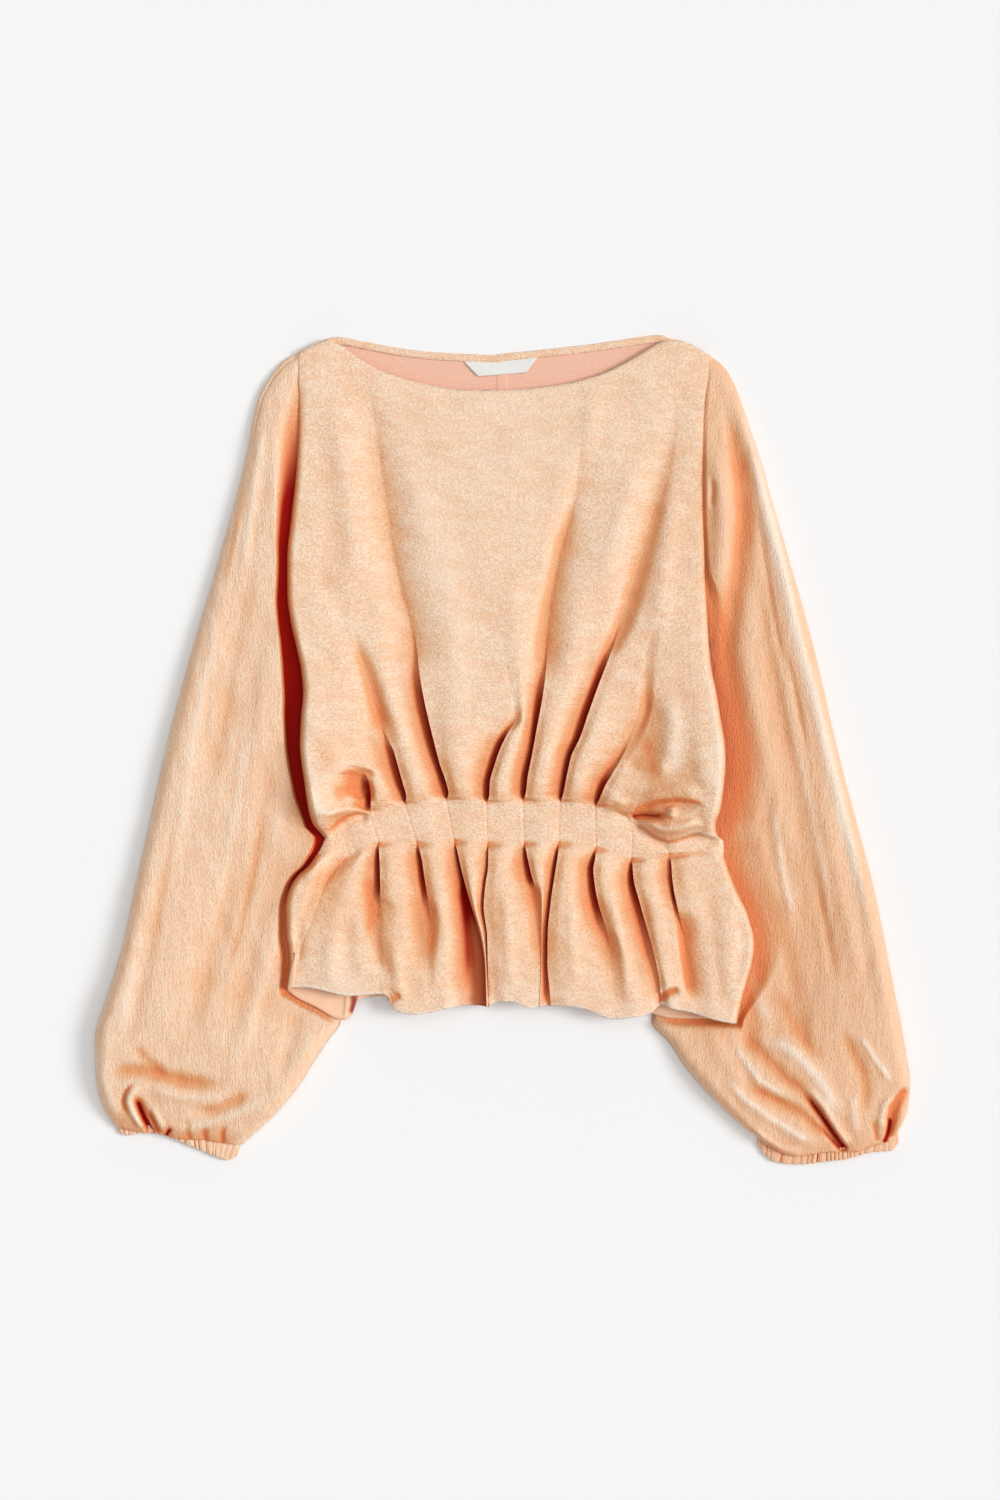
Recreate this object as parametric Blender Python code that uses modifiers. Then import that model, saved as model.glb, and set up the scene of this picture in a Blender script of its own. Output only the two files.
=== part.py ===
# Peplum top laid flat on a table and seen from straight above: a boat neck, balloon sleeves
# gathered into elasticated cuffs, and ten stitched waist tucks released into a short peplum.
# Tables of places are photograph pixels (1000 wide, 1500 high, y down); heights are millimetres.
import math

import bmesh
import bpy

mm = 0.001

# Driving sizes
neck_width = 0.300
cloth_wall = 1.5 * mm
seam_gap = 0.3 * mm
sleeve_wall = 1.0 * mm
trim_wall = 1.0 * mm

# The photograph's frame: its scale comes from the neck, its middle is the garment's
neck_left_px, neck_right_px = 330.0, 671.0
metre_per_px = neck_width / (neck_right_px - neck_left_px)
middle_x_px, middle_y_px = 502.5, 746.5
wall_mm = cloth_wall / mm
gap_mm = seam_gap / mm

# Heights over the table, to the top of the cloth, in millimetres
armhole_height = 7.6
shoulder_height = 3.9
sleeve_under_body = 5.6
back_over_sleeve = 6.4
ruche_wave = 0.7
valley_clearance = 0.9
side_steps_px = (0.0, 1.8, 7.0)


def smoothed(t):
    t = min(max(t, 0.0), 1.0)
    return t * t * (3.0 - 2.0 * t)


def mix(a, b, t):
    return a + (b - a) * t


def read(table, key, column=1):
    """Smooth value of a column at a key; the rows are sorted by their first column."""
    if key <= table[0][0]:
        return table[0][column]
    if key >= table[-1][0]:
        return table[-1][column]
    i = next(n for n in range(1, len(table)) if table[n][0] >= key)
    x0, x1 = table[i - 1][0], table[i][0]
    y0, y1 = table[i - 1][column], table[i][column]
    step = (y1 - y0) / (x1 - x0)

    def tangent(n):
        if n == 0 or n == len(table) - 1:
            return step
        before = (table[n][column] - table[n - 1][column]) / (table[n][0] - table[n - 1][0])
        after = (table[n + 1][column] - table[n][column]) / (table[n + 1][0] - table[n][0])
        return 0.0 if before * after <= 0.0 else 2.0 * before * after / (before + after)

    t = (key - x0) / (x1 - x0)
    span = x1 - x0
    return (
        (2 * t**3 - 3 * t**2 + 1) * y0
        + (t**3 - 2 * t**2 + t) * span * tangent(i - 1)
        + (3 * t**2 - 2 * t**3) * y1
        + (t**3 - t**2) * span * tangent(i)
    )


def place(px, py, height):
    """A photograph pixel and a height in millimetres as a point in metres."""
    return (
        (px - middle_x_px) * metre_per_px,
        (middle_y_px - py) * metre_per_px,
        height * mm,
    )


# Front neck, shoulders and hems: x, y
front_top = [
    (299, 351), (312, 345.5), (326, 341.5), (347, 349), (365, 363), (383, 371), (418, 381.5),
    (445, 388), (472, 390), (505, 389), (538, 387), (565, 383.5), (594, 376), (623, 363.5),
    (651, 347), (670, 338.5), (690, 343), (709, 355),
]
back_top = [
    (299, 351), (318, 341.5), (336, 336), (365, 340.5), (400, 347), (436, 351), (472, 353),
    (499, 353.5), (536, 349), (594, 342.5), (632, 337), (661, 334), (671, 338), (690, 343),
    (709, 355),
]
front_hem = [
    (286, 990), (310, 987.5), (330, 991.5), (347, 995.5), (364, 994.6), (390, 995),
    (400, 1010), (411, 1014), (431, 1012), (451, 1007.6), (468, 1005), (494, 1006), (511, 1004),
    (530, 1008), (540, 1005.6), (563, 1005.6), (589, 1010), (611, 1018.6), (635, 1016.5),
    (649, 1013.5), (659, 1004), (671, 1008), (691, 1012), (712, 1018.6), (727, 1022), (738, 1023.5),
]
back_hem = [
    (286, 991), (297, 998), (317, 1008), (336, 1017), (343, 1018.5), (360, 1014), (400, 1004),
    (520, 999), (620, 1003), (652, 1014), (670, 1018), (690, 1017), (712, 1019), (738, 1022),
]

# Waist band of stitched tucks, upper and lower edge: x, y
band_top = [
    (320, 836), (339, 826), (353, 818), (369, 813), (405, 805.5), (446, 801), (486, 804.5),
    (523, 803.6), (560, 803.6), (595, 808.4), (633, 820), (657, 835), (669, 840), (689, 833.5),
    (708, 835), (724, 838),
]
band_bottom = [
    (316, 852), (349, 856), (378, 841), (415, 840), (453, 838), (487, 841), (524, 841),
    (559, 840), (596, 846), (631, 857), (669, 853), (700, 852), (726, 856),
]

# Side outlines of the body, where its seams are: y, left, right
sides = [
    (345, 300, 708), (372, 299, 707), (401, 298, 704), (433, 297, 703), (477, 294, 703),
    (513, 290, 703), (560, 286, 705), (622, 290, 708), (655, 297, 711), (692, 302, 717),
    (745, 300, 726), (776, 303, 725), (810, 309, 721), (828, 316, 720), (837, 323, 722),
    (849, 319, 724), (865, 309, 728), (887, 290, 736), (910, 285, 747), (936, 286, 754),
    (948, 287, 755), (971, 287, 751), (1000, 286, 743), (1024, 286, 738),
]

# Valleys beside the ten tucks: y, soft left edge, sharp right edge, depth in millimetres
tucks_above = [
    [(345, 313, 314, 0), (450, 311, 312, 0), (600, 305, 306, 0), (700, 316, 317, 0),
     (773, 322, 323, 0), (826, 338, 339, 1)],
    [(345, 326, 327, 0), (450, 328, 329, 0), (600, 322, 323, 0), (700, 333, 335, 0.5),
     (765, 345, 358, 3), (782, 350, 369, 9), (797, 357, 371, 12), (813, 368, 369, 1)],
    [(345, 340, 341, 0), (450, 346, 347, 0), (600, 350, 351, 0), (664, 359, 363, 1.5),
     (713, 369, 378, 4), (745, 380, 390, 8), (767, 386, 398, 11), (783, 391, 403, 13),
     (795, 398, 406, 13), (805.5, 405, 406, 1)],
    [(345, 356, 357, 0), (400, 366, 372, 1), (480, 374, 384, 2), (560, 385, 397, 3.5),
     (640, 402, 416, 6), (701, 410, 424, 10), (743, 423, 434, 14), (782, 437, 446, 15),
     (793, 441, 449, 13), (801, 446, 447, 1)],
    [(380, 448, 449, 0), (450, 464, 465, 0), (600, 492, 493, 0), (690, 506, 512, 1),
     (717, 508, 515, 5), (745, 491, 502, 10), (765, 486, 495, 13), (785, 481, 490, 14),
     (796, 482, 489, 12), (804.5, 486, 487, 1)],
    [(380, 558, 559, 0), (446, 560, 572, 0.6), (500, 553, 563, 1.5), (600, 543, 554, 3),
     (652, 539, 551, 5), (701, 531, 542, 9), (731, 530, 537, 13), (761, 524, 531, 14),
     (789, 519, 526, 14), (803.6, 522, 523, 1)],
    [(360, 632, 633, 0), (419, 634, 648, 0.6), (460, 632, 646, 1.5), (520, 626, 639, 3),
     (600, 614, 625, 4), (674, 591, 603, 9), (725, 574, 584, 13), (755, 565, 572, 14),
     (791, 559, 563, 14), (803.6, 559, 560, 1)],
    [(345, 654, 655, 0), (450, 658, 659, 0), (600, 646, 648, 0.5), (675, 632, 638, 3),
     (720, 626, 642, 6), (742, 613, 633, 9), (759, 604, 625, 11), (775, 596, 617, 13),
     (796, 593, 603, 13), (808.4, 594, 595, 1)],
    [(345, 670, 671, 0), (450, 672, 673, 0), (600, 668, 669, 0), (700, 664, 665, 0),
     (770, 650, 652, 0), (800, 640, 642, 1), (812, 634, 638, 8), (820, 633, 634, 2)],
    [(345, 686, 687, 0), (450, 686, 687, 0), (600, 686, 687, 0), (700, 687, 688, 0),
     (770, 682, 683, 0), (810, 672, 676, 4), (840, 669, 670, 1)],
]
tucks_below = [
    [(856, 348, 349, 1), (863, 333, 338, 5), (883, 316, 324, 8), (899, 310, 318, 7),
     (940, 303, 309, 5), (990, 301, 304, 2)],
    [(841, 378, 379, 1), (849, 374, 379, 7), (872, 367, 379, 10), (890, 366, 380, 7),
     (913, 370, 381, 3), (995, 374, 382, 1)],
    [(840, 415, 416, 1), (858, 412, 421, 9), (874, 410, 423, 10), (900, 410, 423, 8),
     (955, 413, 424, 7), (1014, 414, 424, 5)],
    [(838, 453, 454, 1), (867, 454, 462, 11), (897, 456, 468, 12), (919, 458, 471, 12),
     (952, 459, 471, 12), (1007, 459, 468, 10)],
    [(841, 487, 488, 1), (864, 480, 487, 9), (884, 477, 486, 11), (906, 479, 486, 12),
     (952, 483, 489, 11), (1006, 485, 491, 8)],
    [(841, 523, 524, 1), (864, 519, 527, 9), (887, 519, 530, 10), (913, 521, 531, 6),
     (1006, 515, 524, 3)],
    [(840, 559, 560, 1), (871, 547, 554, 11), (903, 544, 550, 12), (936, 543, 550, 12),
     (968, 543, 554, 11), (1006, 541, 561, 9)],
    [(846, 596, 597, 1), (871, 586, 597, 10), (906, 585, 598, 9), (942, 592, 602, 7),
     (971, 598, 608, 4), (1015, 602, 612, 3)],
    [(857, 631, 632, 1), (884, 622, 636, 10), (916, 628, 644, 11), (949, 634, 648, 10),
     (981, 643, 654, 9), (1008, 650, 659, 8)],
    [(853, 668, 669, 1), (872, 666, 671, 9), (903, 666, 674, 10), (942, 670, 680, 8),
     (988, 680, 690, 7), (1012, 686, 694, 5)],
]

# Crest of the body's folds along its length: level, height of the cloth's top
# Level 0 is the neck, 1 and 2 the band's edges, 3 the hem
crest_by_level = [
    (0.0, 8.4), (0.2, 10.5), (0.45, 12.5), (0.68, 17.0), (0.84, 23.0), (0.92, 23.5), (0.965, 18.5),
    (1.0, 10.2), (1.5, 9.6), (2.0, 10.2), (2.1, 14.5), (2.3, 19.5), (2.6, 21.5), (3.0, 20.5),
]
# Extra height of the blouson's two side puffs: level, left, right
side_puff = [
    (0.0, 0.0, 0.0), (0.4, 2.0, 0.0), (0.7, 6.0, 5.0), (0.86, 12.0, 13.0), (0.95, 13.0, 12.0),
    (1.0, 3.0, 6.0), (1.3, 0.0, 0.5), (2.0, 0.0, 0.0), (3.0, 0.0, 0.0),
]
levels_above = [0.0, 0.07, 0.16, 0.25, 0.34, 0.42, 0.5, 0.58, 0.66, 0.73, 0.79, 0.85, 0.9, 0.945, 0.975]
levels_below = [1.0, 2.0, 2.06, 2.15, 2.3, 2.48, 2.66, 2.84, 3.0]


def armhole_top(y):
    """Top of the cloth along the armhole seam, from the shoulder to the underarm."""
    rise = smoothed((y - 345.0) / 60.0) * (1.0 - smoothed((y - 590.0) / 60.0))
    return mix(shoulder_height, armhole_height, rise)


def side_seam_height(y):
    """Top of the front cloth at its armhole and side seams."""
    over_sleeve = back_over_sleeve + 2.0 * wall_mm + gap_mm
    return mix(armhole_top(y), over_sleeve, smoothed((y - 655.0) / 30.0))


def across_lobe(t, edge):
    """Share of a valley's depth left in the cloth beside it, for a sharp or a soft edge."""
    if edge == "sharp":
        return 0.24 * (1.0 - smoothed(t / 0.30))
    return 0.50 * (1.0 - smoothed((1.0 - t) / 0.55))


def fold_columns():
    """The columns of the front: side or lobe marks with their place across."""
    columns = [("left", 0.0), ("left", 1.0), ("left", 2.0)]
    for lobe in range(11):
        for t in (0.0, 0.2, 0.5, 0.8, 1.0):
            if (lobe > 0 or t > 0.4) and (lobe < 10 or t < 0.6):
                columns.append((lobe, t))
        if lobe < 10:
            columns.append((lobe, "floor"))
    columns += [("right", 2.0), ("right", 1.0), ("right", 0.0)]
    return columns


def row_y(x, level):
    if level <= 1.0:
        top = read(front_top, x)
        return mix(top, read(band_top, x), level)
    if level <= 2.0:
        return mix(read(band_top, x), read(band_bottom, x), level - 1.0)
    return mix(read(band_bottom, x), read(front_hem, x), level - 2.0)


def tuck_at(tuck, level, y):
    """Soft edge, sharp edge and depth of one tuck's valley at a level."""
    if level <= 1.0:
        return [read(tucks_above[tuck], y, column) for column in (1, 2, 3)]
    if level >= 2.0:
        return [read(tucks_below[tuck], y, column) for column in (1, 2, 3)]
    above = tucks_above[tuck][-1]
    below = tucks_below[tuck][0]
    return [mix(above[column], below[column], level - 1.0) for column in (1, 2, 3)]


def front_point(column, level):
    """A point on the top of the front panel."""
    mark, t = column
    y = mix(365.0, 815.0, level) if level <= 1.0 else mix(815.0, 1005.0, (level - 1.0) / 2.0)
    for _ in range(6):
        tucks = [tuck_at(n, level, y) for n in range(10)]
        left, right = read(sides, y, 1), read(sides, y, 2)
        if mark == "left":
            x = left + side_steps_px[int(t)]
        elif mark == "right":
            x = right - side_steps_px[int(t)]
        else:
            start = left + side_steps_px[2] if mark == 0 else tucks[mark - 1][1]
            end = right - side_steps_px[2] if mark == 10 else tucks[mark][0]
            if t == "floor":
                x = mix(tucks[mark][0], tucks[mark][1], 0.75)
            else:
                x = mix(start, end, t)
        y = row_y(x, level)
    crest = read(crest_by_level, level)
    left_share = 1.0 - smoothed((x - left) / 85.0)
    right_share = 1.0 - smoothed((right - x) / 95.0)
    crest += left_share * read(side_puff, level, 1) + right_share * read(side_puff, level, 2)
    seam = side_seam_height(y)
    if mark in ("left", "right"):
        rise = (0.0, 0.5, 0.8)[int(t)]
        return place(x, y, mix(seam, max(crest, seam + 0.4), rise))
    height = crest
    if t == "floor":
        height -= tucks[mark][2]
    else:
        if mark > 0:
            height -= tucks[mark - 1][2] * across_lobe(t, "sharp")
        if mark < 10:
            height -= tucks[mark][2] * across_lobe(t, "soft")
    near_side = min(x - left, right - x)
    height = mix(mix(seam, crest, 0.8), height, smoothed(near_side / 14.0))
    return place(x, y, max(height, back_lift(x, y) + 2.0 * wall_mm + valley_clearance))


def back_lift(x, y):
    """Height of the back's underside: flat on the table, and over the sleeves at its sides."""
    left_inner, right_inner = read(sleeve_inner, y, 1), read(sleeve_inner, y, 2)
    ramp = max(smoothed((left_inner + 38.0 - x) / 24.0), smoothed((x - right_inner + 38.0) / 24.0))
    return back_over_sleeve * ramp * smoothed((y - 664.0) / 26.0)


# Inner edges of the two sleeves, which run on under the body: y, left, right
sleeve_inner = [
    (655, 296, 712), (690, 300, 718), (730, 306, 716), (770, 314, 706), (815, 323, 697),
    (865, 332, 686), (910, 340, 676), (955, 345, 666), (995, 345, 659), (1024, 340, 651),
]


def panel(name, rows, colour, wall, upward=True):
    """An open grid of points with a wall laid on the side away from its face."""
    mesh = bpy.data.meshes.new(name)
    grid = bmesh.new()
    verts = [[grid.verts.new(point) for point in row] for row in rows]
    for upper, lower in zip(verts, verts[1:]):
        for n in range(len(upper) - 1):
            corners = (upper[n], lower[n], lower[n + 1], upper[n + 1])
            grid.faces.new(corners if upward else corners[::-1])
    grid.to_mesh(mesh)
    grid.free()
    return finish(name, mesh, colour, wall)


def tube(name, rings, colour, wall):
    """Closed rings of points, joined along their length and open at both ends."""
    mesh = bpy.data.meshes.new(name)
    grid = bmesh.new()
    verts = [[grid.verts.new(point) for point in ring] for ring in rings]
    for upper, lower in zip(verts, verts[1:]):
        count = len(upper)
        for n in range(count):
            m = (n + 1) % count
            grid.faces.new((upper[n], lower[n], lower[m], upper[m]))
    bmesh.ops.recalc_face_normals(grid, faces=grid.faces)
    grid.to_mesh(mesh)
    grid.free()
    return finish(name, mesh, colour, wall)


def finish(name, mesh, colour, wall):
    obj = bpy.data.objects.new(name, mesh)
    garment.objects.link(obj)
    mesh.materials.append(material(name, colour))
    mesh.shade_smooth()
    mesh.set_sharp_from_angle(angle=math.radians(50))
    solidify = obj.modifiers.new("wall", "SOLIDIFY")
    solidify.thickness = wall
    solidify.offset = -1.0
    return obj


def material(name, colour):
    made = bpy.data.materials.new(name)
    made.use_nodes = True
    shader = made.node_tree.nodes["Principled BSDF"]
    shader.inputs["Base Color"].default_value = (*colour, 1.0)
    shader.inputs["Roughness"].default_value = 0.5
    shader.inputs["Metallic"].default_value = 0.0
    return made


def front():
    columns = fold_columns()
    rows = [[front_point(column, level) for column in columns] for level in levels_above + levels_below]
    return panel("front", rows, satin, cloth_wall)


def back_point(t, level):
    """A point on the underside of the back panel, which is the side on the table."""
    y = mix(350.0, 1010.0, level)
    for _ in range(5):
        x = mix(read(sides, y, 1), read(sides, y, 2), t)
        y = mix(read(back_top, x), read(back_hem, x), level)
    return x, y, back_lift(x, y)


back_columns = [
    0.0, 0.03, 0.06, 0.09, 0.12, 0.16, 0.2, 0.24, 0.34, 0.45, 0.56, 0.66, 0.76, 0.8, 0.84, 0.88, 0.91,
    0.94, 0.97, 1.0,
]
back_levels = [
    0.0, 0.03, 0.08, 0.16, 0.24, 0.32, 0.38, 0.43, 0.47, 0.5, 0.53, 0.57, 0.63,
    0.7, 0.77, 0.84, 0.9, 0.95, 1.0,
]


def back():
    rows = [[place(*back_point(t, level)) for t in back_columns] for level in back_levels]
    return panel("back", rows, satin_reverse, cloth_wall, upward=False)


# Sleeve sections from the shoulder to the cuff: outer x, outer y, inner x, inner y
left_sections = [
    (284, 360, 299, 366), (270, 375, 298.5, 387), (259, 395, 297.5, 415), (252, 420, 296, 447),
    (245, 452, 293, 485), (236, 488, 289, 525), (226, 525, 286, 568), (216, 562, 289, 610),
    (211, 581, 292, 632), (205, 600, 295.5, 655), (197, 632, 300, 690), (188, 664, 306, 730),
    (178, 698, 314, 770),
    (168, 738, 323, 815), (158, 782, 332, 865), (148, 828, 340, 910), (139, 870, 345, 955),
    (131, 908, 345, 995), (123, 942, 340, 1024), (114, 974, 328, 1041), (103, 1006, 314, 1062),
    (94, 1040, 297, 1089), (94, 1076, 277, 1113), (101, 1106, 256, 1133), (114, 1124, 243, 1143),
]
right_sections = [
    (722, 364, 707.5, 368), (734, 380, 706, 389), (743, 402, 704, 415), (752, 428, 703, 447),
    (762, 460, 703, 485), (772, 497, 703.5, 525), (783, 534, 705.5, 568), (794, 573, 707, 610),
    (800, 593, 709, 632), (806, 614, 712.5, 655), (816, 652, 718, 690), (825, 690, 716, 730),
    (835, 732, 706, 770),
    (845, 775, 697, 815), (857, 820, 686, 865), (868, 860, 676, 910), (877, 895, 666, 955),
    (883, 926, 659, 995), (889, 957, 652, 1022), (896, 993, 669, 1043), (902, 1025, 684, 1066),
    (908, 1057, 702, 1088), (911, 1085, 722, 1109), (908, 1115, 743, 1130), (899, 1136, 760, 1141),
]
underarm_section = 9
# Where the puffed cloth of each sleeve drops to the body or to its inner part: y, left, right
sleeve_fold = [
    (360, 296, 710), (380, 292, 717), (400, 286, 724), (433, 275, 732), (491, 274, 739),
    (560, 275, 736), (622, 278, 727), (685, 281, 730), (747, 284, 738), (794, 291, 738),
    (819, 297, 736), (865, 288, 742), (887, 276, 749), (910, 272, 760), (950, 272, 768),
    (1000, 271, 759), (1060, 258, 748), (1143, 232, 778),
]
# Height of a sleeve's puffed cloth: section, at its outer half, beside its fold
sleeve_puff = [
    (0, 6.5, 6.5), (3, 9.5, 11.5), (6, 12.0, 16.0), (11, 15.0, 18.0), (16, 18.0, 20.0),
    (19, 22.0, 24.0), (21, 22.0, 24.0), (22, 19.0, 20.0), (23, 14.0, 15.0), (24, 7.0, 7.0),
]
puffed_steps = [0.14, 0.28, 0.43, 0.58, 0.72, 0.86, 1.0]
under_steps = 6
edge_height = 3.6
edge_round_px = 20.0
edge_step_px = 2.2
fold_drop_px = 7.0
armhole_gap_px = 1.0


def fold_share(section, side):
    """How far along a section its puffed cloth ends, from its outer edge."""
    outer_x, outer_y, inner_x, inner_y = section
    width = math.hypot(inner_x - outer_x, inner_y - outer_y)
    largest = min(max(1.0 - 18.0 / width, 0.62), 0.88)
    share = 0.5
    for _ in range(12):
        fold_x = read(sleeve_fold, mix(outer_y, inner_y, share), 1 if side < 0 else 2)
        share = min(max((fold_x - outer_x) / (inner_x - outer_x), 0.3), largest)
    return share


def sleeve_top(n, section, side, t, fold_t):
    """A point on the upper cloth of a sleeve, at a share of the way across its section."""
    outer_x, outer_y, inner_x, inner_y = section
    x, y = mix(outer_x, inner_x, t), mix(outer_y, inner_y, t)
    width = math.hypot(inner_x - outer_x, inner_y - outer_y)
    outer_half, beside_fold = read(sleeve_puff, n, 1), read(sleeve_puff, n, 2)
    puffed = mix(outer_half, beside_fold, smoothed(t / fold_t))
    low = armhole_top(y) if n < underarm_section else sleeve_under_body
    height = puffed if t <= fold_t else mix(min(low, puffed), 0.8 * puffed, clear_of_hem(x, y))
    near_edge = t * width if n < underarm_section else min(t, 1.0 - t) * width
    round_off = math.sqrt(1.0 - (1.0 - min(near_edge / edge_round_px, 1.0)) ** 2)
    return place(x, y, mix(edge_height, height, round_off))


def clear_of_hem(x, y):
    """0 where the body lies on the sleeve, 1 well below the body's hem."""
    return smoothed((y - read(back_hem, x) - 24.0) / 14.0)


def sleeve(name, sections, side):
    """Upper and under cloth joined at the outer edge, and below the underarm at the inner one."""
    mesh = bpy.data.meshes.new(name)
    grid = bmesh.new()
    upper_rows, under_rows = [], []
    for n, section in enumerate(sections):
        outer_x, outer_y, inner_x, inner_y = section
        if n < underarm_section:
            inner_x = read(sides, inner_y, 1 if side < 0 else 2) + side * armhole_gap_px
            section = (outer_x, outer_y, inner_x, inner_y)
        width = math.hypot(inner_x - outer_x, inner_y - outer_y)
        fold_t, step = fold_share(section, side), edge_step_px / width
        drop_t = fold_t + min(fold_drop_px / width, 0.4 * (1.0 - step - fold_t))
        shares = [step] + [mix(step, fold_t, t) for t in puffed_steps]
        shares += [drop_t, mix(drop_t, 1.0 - step, 0.5), 1.0 - step]
        outer = grid.verts.new(place(outer_x, outer_y, 0.5 * edge_height))
        upper = [grid.verts.new(sleeve_top(n, section, side, t, fold_t)) for t in shares]
        under = [
            grid.verts.new(place(mix(outer_x, inner_x, t), mix(outer_y, inner_y, t), 0.0))
            for t in [mix(step, 1.0 - step, k / under_steps) for k in range(under_steps + 1)]
        ]
        if n < underarm_section:
            inner_upper = grid.verts.new(place(inner_x, inner_y, armhole_top(inner_y)))
            inner_under = grid.verts.new(place(inner_x, inner_y, 0.0))
        else:
            inner_upper = inner_under = grid.verts.new(place(inner_x, inner_y, 0.5 * edge_height))
        upper_rows.append([outer] + upper + [inner_upper])
        under_rows.append([outer] + under + [inner_under])
    for rows, faces_up in ((upper_rows, side < 0), (under_rows, side > 0)):
        for above, below in zip(rows, rows[1:]):
            for n in range(len(above) - 1):
                corners = (above[n], below[n], below[n + 1], above[n + 1])
                grid.faces.new(corners if faces_up else corners[::-1])
    grid.to_mesh(mesh)
    grid.free()
    return finish(name, mesh, satin, sleeve_wall)


# Cuffs: the corners of each, along the sleeve's end and along the free edge
left_cuff = ((116.5, 1124.9), (242.0, 1143.8), (119.0, 1136.0), (235.0, 1158.0))
right_cuff = ((898.0, 1136.9), (761.0, 1141.9), (893.0, 1151.0), (768.0, 1159.0))
cuff_waves = 22
cuff_height = 6.2
cuff_under_points = 8


def between(corners, t, along):
    """A place on a four-cornered strip, at shares across and along it."""
    start, end, start_low, end_low = corners
    return tuple(
        mix(mix(start[axis], end[axis], t), mix(start_low[axis], end_low[axis], t), along)
        for axis in (0, 1)
    )


def cuff(name, corners):
    """A flat elasticated tube; its upper edge meets the sleeve, its gathers run along it."""
    rings = []
    points = cuff_waves * 2
    for along in (0.0, 0.5, 1.0):
        ring = []
        for n in range(points + 1):
            t = n / points
            at_end = n in (0, points)
            wave = 0.0 if at_end else ruche_wave * (1.0 if n % 2 else -1.0)
            swell = 0.0 if at_end else math.sin(math.pi * t) ** 0.4
            ring.append(place(*between(corners, t, along), mix(edge_height, cuff_height, swell) + wave))
        for n in range(cuff_under_points, -1, -1):
            ring.append(place(*between(corners, n / cuff_under_points, along), 0.0))
        rings.append(ring)
    return tube(name, rings, satin, sleeve_wall)


def on_back(x, y, above):
    """Height over the table of something laid on the back panel's inner side."""
    return back_lift(x, y) + wall_mm + gap_mm + above


binding_start_px, binding_width_px = 0.6, 7.5


def neck_binding():
    """A narrow band laid inside the back neck, from shoulder to shoulder."""
    rows = []
    for across in (0.0, 1.0):
        row = []
        for n in range(29):
            x = mix(340.0, 664.0, n / 28)
            y = read(back_top, x) + binding_start_px + across * binding_width_px
            row.append(place(x, y, on_back(x, y, trim_wall / mm)))
        rows.append(row)
    return panel("neck_binding", rows, satin, trim_wall)


def label():
    """A blank tapered label that hangs from under the binding."""
    rows = []
    for down in (0.0, 1.0):
        row = []
        for t in (0.0, 0.25, 0.5, 0.75, 1.0):
            x = mix(mix(463.5, 478.0, down), mix(536.5, 526.5, down), t)
            upper_y = read(back_top, x) + binding_start_px + binding_width_px + 0.6
            y = mix(upper_y, mix(375.0, 371.5, t), down)
            row.append(place(x, y, on_back(x, y, trim_wall / mm)))
        rows.append(row)
    return panel("label", rows, label_white, trim_wall)


satin = (0.88, 0.50, 0.27)
satin_reverse = (0.82, 0.42, 0.27)
label_white = (0.85, 0.83, 0.78)

for old in list(bpy.data.objects):
    bpy.data.objects.remove(old, do_unlink=True)
garment = bpy.data.collections.new("peplum_top")
bpy.context.scene.collection.children.link(garment)
back()
front()
sleeve("sleeve_left", left_sections, -1)
sleeve("sleeve_right", right_sections, 1)
cuff("cuff_left", left_cuff)
cuff("cuff_right", right_cuff)
neck_binding()
label()
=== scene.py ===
import math

import bmesh
import bpy
import numpy as np
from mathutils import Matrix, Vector
from mathutils.bvhtree import BVHTree


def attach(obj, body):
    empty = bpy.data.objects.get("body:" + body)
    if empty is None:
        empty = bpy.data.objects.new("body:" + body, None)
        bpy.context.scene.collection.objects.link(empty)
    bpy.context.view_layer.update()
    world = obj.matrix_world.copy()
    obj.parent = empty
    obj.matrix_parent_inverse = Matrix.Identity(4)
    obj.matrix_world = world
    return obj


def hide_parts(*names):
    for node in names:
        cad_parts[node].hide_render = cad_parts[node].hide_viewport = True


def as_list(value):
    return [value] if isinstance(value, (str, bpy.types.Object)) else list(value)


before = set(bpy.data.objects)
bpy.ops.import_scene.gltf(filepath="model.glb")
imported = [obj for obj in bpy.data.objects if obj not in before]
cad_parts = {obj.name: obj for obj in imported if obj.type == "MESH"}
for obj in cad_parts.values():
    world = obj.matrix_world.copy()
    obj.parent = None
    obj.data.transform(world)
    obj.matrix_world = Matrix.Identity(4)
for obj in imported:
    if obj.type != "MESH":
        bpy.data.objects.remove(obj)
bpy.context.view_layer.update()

mm = 0.001

# Places are photograph pixels (1000 wide, 1500 high, y down); heights are millimetres over the table
photo = {"width": 1000, "height": 1500, "neckWidth": 0.300, "neckLeft": 330.0, "neckRight": 671.0,
         "middleX": 502.5, "middleY": 746.5}
metrePerPx = photo["neckWidth"] / (photo["neckRight"] - photo["neckLeft"])


# helpers for curves and surfaces
def smoothed(t):
    t = np.clip(t, 0.0, 1.0)
    return t * t * (3.0 - 2.0 * t)


def mix(a, b, t):
    return a + (b - a) * t


def rounded(distance, radius):
    # a quarter circle that rises from 0 at an edge to 1 at the radius
    return np.sqrt(np.maximum(1 - (1 - np.minimum(distance / radius, 1)) ** 2, 0))


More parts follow.
